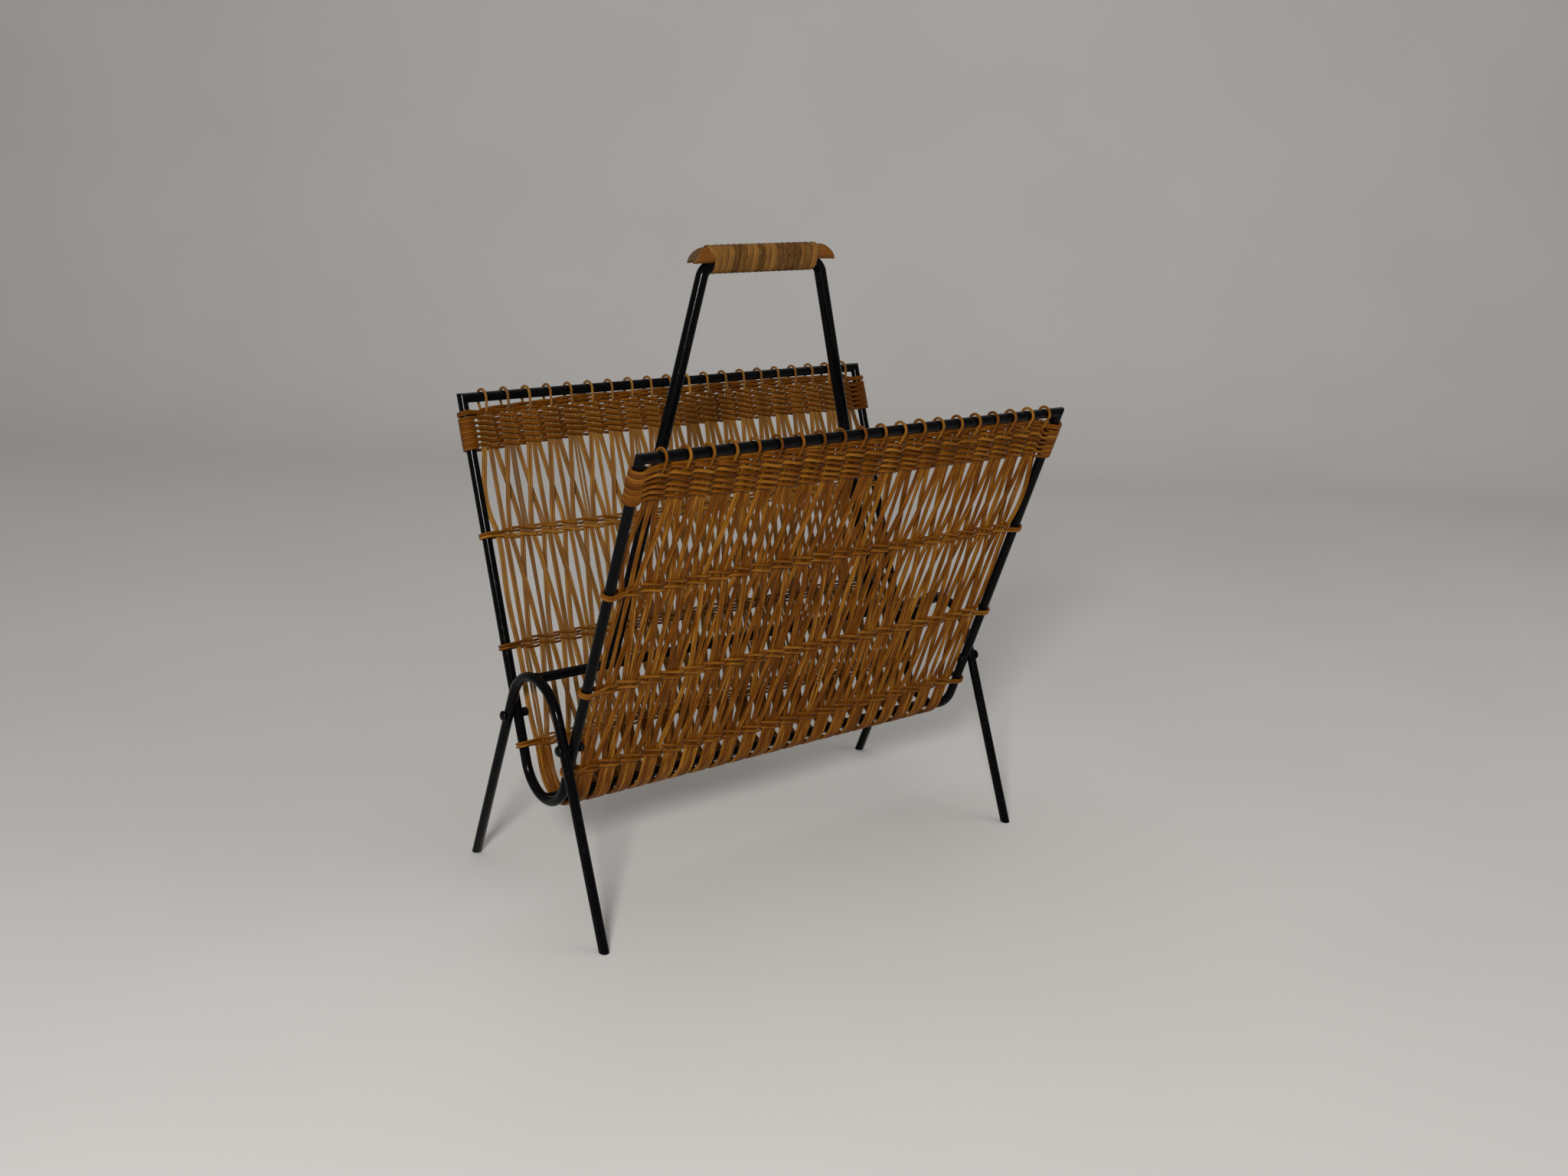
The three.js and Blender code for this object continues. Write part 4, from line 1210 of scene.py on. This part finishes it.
# The tail leaves its turn so late and slips aside over so long, first the other way, and then dives under
TAIL_LEAVES = 0.02
TAIL_RUN = 0.3
TAIL_BACK = 1.1 * MM
TAIL_DIVES = 0.12
DIVE_RUN = 0.08
# How deep the tail and the start sink, in shares of the cane's thickness
TAIL_SUNK_SHARE = 0.8
START_SUNK_SHARE = 0.5
# What is uneven about the binding: where a turn lies, and its width as a share
TURN_STRAY = 0.3 * MM
WIDTH_STRAY_SHARE = 0.05
# Turns from one stain to the next, the stains' range of shade, and the pale ends: how long they are, in
# turns, and their shades
STAIN_TURNS = 0.8
STAIN_SHADES = (0.05, 0.95)
PALE_TAIL, PALE_START = 0.4, 0.55
TAIL_SHADE, START_SHADE = 0.9, 0.85
# So near to where it leaves the pole, the cane still counts as on it
TOUCH = 1e-9
# Section of the cane, in shares of its width and thickness
CROWN_SHARES = ((-0.5, -0.5), (0.5, -0.5), (0.5, -0.22), (0.45, 0.1), (0.31, 0.36), (0.11, 0.49),
                (-0.11, 0.49), (-0.31, 0.36), (-0.45, 0.1), (-0.5, -0.22))


def make_grip_pole(made):
    """The pole's section, flat below with a groove for the bar, run between two slanted cuts with worn
    rims."""
    rods, grip = made.rods, made.grip
    radius = grip.pole_width / 2
    centre = rods.bow_height + grip.pole_rise
    under = centre - grip.pole_flat
    edge = math.asin(grip.pole_flat / radius)
    outline = arc((0, centre), radius, -edge, math.pi + edge, POLE_STEPS)
    groove_radius = made.bow_radius + LACE_GAP
    groove_edge = math.acos((under - rods.bow_height) / groove_radius)
    groove = arc((0, rods.bow_height), groove_radius, math.pi / 2 + groove_edge, math.pi / 2 - groove_edge,
                 GROOVE_STEPS)
    section = np.concatenate([outline, groove])
    slope = (grip.pole_length - grip.pole_top_length) / 2 / (grip.pole_flat + radius)
    height = (section[:, 1] - under) / (grip.pole_flat + radius)
    worn = WORN_RIM + (WORN_SHOULDER - WORN_RIM) * np.clip(height, 0, 1) ** 2
    rings, cut = [], []
    for end in (-1, 1):
        bevel = []
        for share in np.linspace(1, 0, RIM_RINGS):
            angle = share * math.pi / 2
            inner = (section - (0, centre)) * (1 - worn * (1 - math.cos(angle)) / radius)[:, None]
            inner += (0, centre)
            half = grip.pole_length / 2 - slope * (inner[:, 1] - under) - worn * (1 - math.sin(angle))
            bevel.append(in_space(end * half, inner[:, 0], inner[:, 1]))
            cut.append(share ** 3)
        if end < 0:
            rings.extend(bevel)
            first = bevel[-1][:, 0]
            for share in np.linspace(0, 1, POLE_RINGS)[1:-1]:
                rings.append(in_space(first * (1 - 2 * share), section[:, 0], section[:, 1]))
                cut.append(0.0)
        else:
            rings.extend(bevel[::-1])
            cut[-len(bevel):] = cut[-len(bevel):][::-1]
    rings = np.array(rings)
    rings[:, :, 2] -= POLE_DROOP * (np.abs(rings[:, :, 0]) / (grip.pole_length / 2)) ** 4
    rings[:, :, 0] += rods.bow_shift
    mesh = lofted("grip_pole_rattan", tilted(made, rings)[::-1])
    ends = mesh.attributes.new("cut_end", "FLOAT", "POINT")
    ends.data.foreach_set("value", np.repeat(cut[::-1], len(section)).astype(np.float32))
    placed(mesh, varnished_rattan_pole(made), "rattan_pole", "grip_pole")


def eased_in(turns, start, run):
    """0 up to a start, 1 after a run, and straight between."""
    return np.clip((turns - start) / run, 0, 1)


def make_grip_binding(made):
    """Flat cane wound round pole and bar in one unbroken run, crowned across its width. It starts on top of
    the right end, and its left end comes up behind the bar and is tucked in under its last turn."""
    rods, grip = made.rods, made.grip
    centre = rods.bow_height + grip.pole_rise
    thick = grip.cane_thickness
    reach_pole = grip.pole_width / 2 + LACE_GAP + thick / 2
    reach_bar = made.bow_radius + LACE_GAP + thick / 2
    # a string drawn tight round pole and bar: where it leaves each of them
    leave = (reach_pole - reach_bar) / grip.pole_rise
    pitch = (grip.bind_length + CANE_GAP) / (grip.bind_turns + 1)
    width = pitch - SEEN_CANE_GAP
    uneven = Uneven(made.wicker.seed + BINDING_SEED)
    tail = grip.bind_turns + 0.5
    turns = np.linspace(-START_TURN, tail + TAIL_TURN, int((grip.bind_turns + 1) * TURN_POINTS))
    marks = np.arange(math.ceil(tail) + 3) - 1
    drift = np.interp(turns, marks, [uneven.off(TURN_STRAY) for _ in marks])
    drift += TAIL_SLIP * eased_in(turns, tail + TAIL_LEAVES, TAIL_RUN) ** 1.5
    drift -= TAIL_BACK * eased_in(turns, tail - TAIL_RUN, TAIL_RUN)
    breadth = np.interp(turns, marks, [1 + uneven.off(WIDTH_STRAY_SHARE) for _ in marks])
    stains = np.arange(-1, tail + 2, STAIN_TURNS)
    shade = np.interp(turns, stains, [uneven.draw.uniform(*STAIN_SHADES) for _ in stains])
    shade = np.where(turns > tail - PALE_TAIL, TAIL_SHADE, np.where(turns < PALE_START, START_SHADE, shade))
    sunk = thick * np.maximum(TAIL_SUNK_SHARE * eased_in(turns, tail + TAIL_DIVES, DIVE_RUN),
                              START_SUNK_SHARE * eased_in(-turns, 0, START_TURN))
    rings, grains = [], []
    along = 0.0
    previous = None
    for turn, side, broad, depth in zip(turns, drift, breadth, sunk):
        angle = math.pi / 2 + 2 * math.pi * turn
        out = np.array([math.cos(angle), math.sin(angle)])
        on_pole = out[1] > -leave - TOUCH or turn > tail
        base, reach = (centre, reach_pole) if on_pole else (rods.bow_height, reach_bar)
        middle = np.array([(grip.bind_turns / 2 - turn) * pitch + side, out[0] * (reach - depth),
                           base + out[1] * (reach - depth)])
        along += 0.0 if previous is None else float(np.linalg.norm(middle - previous))
        previous = middle
        rings.append([middle + (-across * width * broad, rise * thick * out[0], rise * thick * out[1])
                      for across, rise in CROWN_SHARES])
        grains.append([(across * width, rise * thick, along) for across, rise in CROWN_SHARES])
    rings = np.array(rings) + (rods.bow_shift, 0, 0)
    mesh = lofted("grip_binding_cane", tilted(made, rings)[::-1])
    grain = mesh.attributes.new("grain", "FLOAT_VECTOR", "POINT")
    grain.data.foreach_set("vector", np.array(grains[::-1], np.float32).ravel())
    stain = mesh.attributes.new("shade", "FLOAT", "POINT")
    stain.data.foreach_set("value", np.repeat(shade[::-1], len(CROWN_SHARES)).astype(np.float32))
    placed(mesh, split_binding_cane(made), "cane", "grip_binding")


# Stage

CAMERA_PLACE = (-775.62 * MM, -1012.46 * MM, 604.80 * MM)
CAMERA_TURN, CAMERA_DIP, CAMERA_ROLL = math.radians(-38.391), math.radians(16.428), math.radians(2.33)
# The lens in pixels of the photograph, and the photograph's width
LENS_PIXELS, PHOTO_PIXELS = 2064.8, 2048
SENSOR = 36.0
LENS = LENS_PIXELS / PHOTO_PIXELS * SENSOR
# The paper sweep in metres: its near edge, where it starts to rise, the radius of the rise, its top and
# half its width
SWEEP_NEAR, SWEEP_FAR, SWEEP_RISE, SWEEP_TOP, SWEEP_HALF = -4.0, 1.5, 0.7, 4.5, 5.0
SWEEP_STEPS = 20
# What the lamps aim at, and each lamp's name, place, width, power and whether gloss mirrors it
LAMP_AIM = (0, 0, 0.25)
LAMPS = (
    ("key_lamp", (-1.4, -1.4, 1.15), 0.36, 34, True),
    ("fill_lamp", (1.6, -1.6, 1.0), 1.6, 12, False),
    ("top_lamp", (0.2, 0.4, 2.4), 2.0, 9, False),
)
WORLD_STRENGTH = 0.22


def make_camera():
    """The camera, where the photograph's was."""
    level = math.cos(CAMERA_DIP)
    ahead = Vector((-math.sin(CAMERA_TURN) * level, math.cos(CAMERA_TURN) * level, -math.sin(CAMERA_DIP)))
    right = Vector((math.cos(CAMERA_TURN), math.sin(CAMERA_TURN), 0))
    up = right.cross(ahead)
    rolled_right = right * math.cos(CAMERA_ROLL) + up * math.sin(CAMERA_ROLL)
    rolled_up = up * math.cos(CAMERA_ROLL) - right * math.sin(CAMERA_ROLL)
    data = bpy.data.cameras.new("photo_camera")
    data.sensor_width = SENSOR
    data.lens = LENS
    camera = bpy.data.objects.new("photo_camera", data)
    bpy.context.scene.collection.objects.link(camera)
    turn = Matrix((rolled_right, rolled_up, -ahead)).transposed().to_4x4()
    camera.matrix_world = Matrix.Translation(CAMERA_PLACE) @ turn
    bpy.context.scene.camera = camera


def make_lamp(name, place, size, power, mirrored):
    """A square soft lamp turned to the basket."""
    data = bpy.data.lights.new(name, "AREA")
    data.shape = "SQUARE"
    data.size = size
    data.energy = power
    lamp = bpy.data.objects.new(name, data)
    bpy.context.scene.collection.objects.link(lamp)
    lamp.visible_glossy = mirrored
    lamp.location = place
    lamp.rotation_mode = "QUATERNION"
    lamp.rotation_quaternion = (Vector(LAMP_AIM) - Vector(place)).to_track_quat("-Z", "Y")


def make_sweep(made):
    """Floor, round rise and backdrop in one sheet of paper, square to the camera."""
    bend = arc((SWEEP_FAR, SWEEP_RISE), SWEEP_RISE, -math.pi / 2, 0, SWEEP_STEPS)
    line = np.concatenate([[(SWEEP_NEAR, 0)], bend, [(SWEEP_FAR + SWEEP_RISE, SWEEP_TOP)]])
    points = np.concatenate([in_space([-SWEEP_HALF, SWEEP_HALF], y, z) for y, z in line])
    faces = [(2 * n, 2 * n + 1, 2 * n + 3, 2 * n + 2) for n in range(len(line) - 1)]
    mesh = bpy.data.meshes.new("paper_sweep")
    mesh.from_pydata(points, [], faces)
    mesh.shade_smooth()
    mesh.materials.append(matte_paper_floor(made))
    sweep = bpy.data.objects.new("paper_sweep", mesh)
    sweep.rotation_euler.z = CAMERA_TURN
    bpy.context.scene.collection.objects.link(sweep)


def make_world():
    """Even grey light from all round."""
    world = bpy.data.worlds.new("studio_air")
    world.use_nodes = True
    world.node_tree.nodes.clear()
    sky = add(world.node_tree, "ShaderNodeBackground", {"Color": (1, 1, 1, 1), "Strength": WORLD_STRENGTH})
    output = add(world.node_tree, "ShaderNodeOutputWorld")
    world.node_tree.links.new(sky.outputs["Background"], output.inputs["Surface"])
    bpy.context.scene.world = world


# Operators, one for each group of like pieces

class BasketOperator:
    """Checks that the frame has what a group of pieces stands for, and makes them."""

    bl_options = {"REGISTER", "UNDO"}
    needs = ()
    make = None

    def execute(self, context):
        missing = [node for node in self.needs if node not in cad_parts]
        if missing:
            raise RuntimeError(f"the frame has no {', '.join(missing)}")
        type(self).make(plan())
        return {"FINISHED"}


class BASKET_OT_stage(BasketOperator, Operator):
    """Sets the paper sweep, the lamps and the camera"""

    bl_idname = "basket.stage"
    bl_label = "Stage"

    def execute(self, context):
        make_camera()
        make_sweep(plan())
        make_world()
        for lamp in LAMPS:
            make_lamp(*lamp)
        context.scene.view_settings.view_transform = "Standard"
        if context.scene.camera is None:
            raise RuntimeError("the stage has no camera")
        return {"FINISHED"}


class BASKET_OT_hoops(BasketOperator, Operator):
    """Bends the two end hoops"""

    bl_idname = "basket.hoops"
    bl_label = "End hoops"
    needs = ("left_hoop", "right_hoop")
    make = make_hoops


class BASKET_OT_rails(BasketOperator, Operator):
    """Sets the two rails between the hoops' mitres"""

    bl_idname = "basket.rails"
    bl_label = "Rails"
    needs = ("front_rail", "back_rail")
    make = make_rails


class BASKET_OT_cross_bars(BasketOperator, Operator):
    """Sets the bottom bar and the stretcher"""

    bl_idname = "basket.cross_bars"
    bl_label = "Bottom bar and stretcher"
    needs = ("bottom_bar", "stretcher_bar")
    make = make_cross_bars


class BASKET_OT_hairpin_legs(BasketOperator, Operator):
    """Bends the two hairpin legs and cuts their feet level"""

    bl_idname = "basket.hairpin_legs"
    bl_label = "Hairpin legs"
    needs = ("left_hairpin_leg", "right_hairpin_leg")
    make = make_hairpin_legs


class BASKET_OT_handle_bow(BasketOperator, Operator):
    """Bends the handle bow"""

    bl_idname = "basket.handle_bow"
    bl_label = "Handle bow"
    needs = ("handle_bow",)
    make = make_handle_bow


class BASKET_OT_weld_beads(BasketOperator, Operator):
    """Lays the weld beads of bars and bow"""

    bl_idname = "basket.weld_beads"
    bl_label = "Weld beads"
    needs = ("bottom_bar", "stretcher_bar", "handle_bow")
    make = make_weld_beads


class BASKET_OT_bolts(BasketOperator, Operator):
    """Puts in the four bolts and their nuts"""

    bl_idname = "basket.bolts"
    bl_label = "Bolts and nuts"
    needs = tuple(
        f"{end}_{side}_{kind}" for _, end in ENDS for _, side in PANELS for kind in ("bolt", "nut"))
    make = make_bolts


class BASKET_OT_stakes(BasketOperator, Operator):
    """Hangs both panels' stakes on their rails"""

    bl_idname = "basket.stakes"
    bl_label = "Stakes"
    needs = ("front_stakes", "back_stakes")
    make = make_stakes


class BASKET_OT_bands(BasketOperator, Operator):
    """Twines both panels' dense top bands"""

    bl_idname = "basket.bands"
    bl_label = "Top bands"
    needs = tuple(f"{panel}_band_{number + 1}" for _, panel in PANELS for number in range(BAND_COURSES))
    make = make_bands


class BASKET_OT_rows(BasketOperator, Operator):
    """Twines both panels' three single rows"""

    bl_idname = "basket.rows"
    bl_label = "Rows"
    needs = ("front_row_1", "front_row_2", "back_row_1", "back_row_2", "bottom_stakes")
    make = make_rows


class BASKET_OT_bottom_bundles(BasketOperator, Operator):
    """Carries the stakes under the bottom bar"""

    bl_idname = "basket.bottom_bundles"
    bl_label = "Bottom bundles"
    needs = ("bottom_stakes",)
    make = make_bottom_bundles


class BASKET_OT_grip_pole(BasketOperator, Operator):
    """Cuts the grip's pole to the bar"""

    bl_idname = "basket.grip_pole"
    bl_label = "Grip pole"
    needs = ("grip_pole",)
    make = make_grip_pole


class BASKET_OT_grip_binding(BasketOperator, Operator):
    """Binds pole and bar with cane"""

    bl_idname = "basket.grip_binding"
    bl_label = "Grip binding"
    needs = ("grip_binding",)
    make = make_grip_binding


STEPS = (
    BASKET_OT_stage, BASKET_OT_hoops, BASKET_OT_rails, BASKET_OT_cross_bars, BASKET_OT_hairpin_legs,
    BASKET_OT_handle_bow, BASKET_OT_weld_beads, BASKET_OT_bolts, BASKET_OT_stakes, BASKET_OT_bands,
    BASKET_OT_rows, BASKET_OT_bottom_bundles, BASKET_OT_grip_pole, BASKET_OT_grip_binding,
)


class BASKET_PT_panel(Panel):
    """Sizes, colours and steps of the basket"""

    bl_idname = "BASKET_PT_panel"
    bl_label = "Magazine Basket"
    bl_space_type = "VIEW_3D"
    bl_region_type = "UI"
    bl_category = "Basket"

    def draw(self, context):
        for group_name in GROUPS:
            group = getattr(context.scene, group_name)
            box = self.layout.box()
            box.label(text=group_name.removeprefix("basket_").capitalize())
            for name in group.__annotations__:
                box.prop(group, name)
        for step in STEPS:
            self.layout.operator(step.bl_idname)


GROUPS = {"basket_rods": BasketRods, "basket_wicker": BasketWicker, "basket_grip": BasketGrip,
          "basket_colours": BasketColours}


def register():
    for kind in (*GROUPS.values(), *STEPS, BASKET_PT_panel):
        bpy.utils.register_class(kind)
    for name, kind in GROUPS.items():
        setattr(bpy.types.Scene, name, PointerProperty(type=kind))


def unregister():
    for name in GROUPS:
        delattr(bpy.types.Scene, name)
    for kind in reversed((*GROUPS.values(), *STEPS, BASKET_PT_panel)):
        bpy.utils.unregister_class(kind)


def main():
    register()
    for step in STEPS:
        group, name = step.bl_idname.split(".")
        getattr(getattr(bpy.ops, group), name)()


if __name__ == "__main__":
    main()
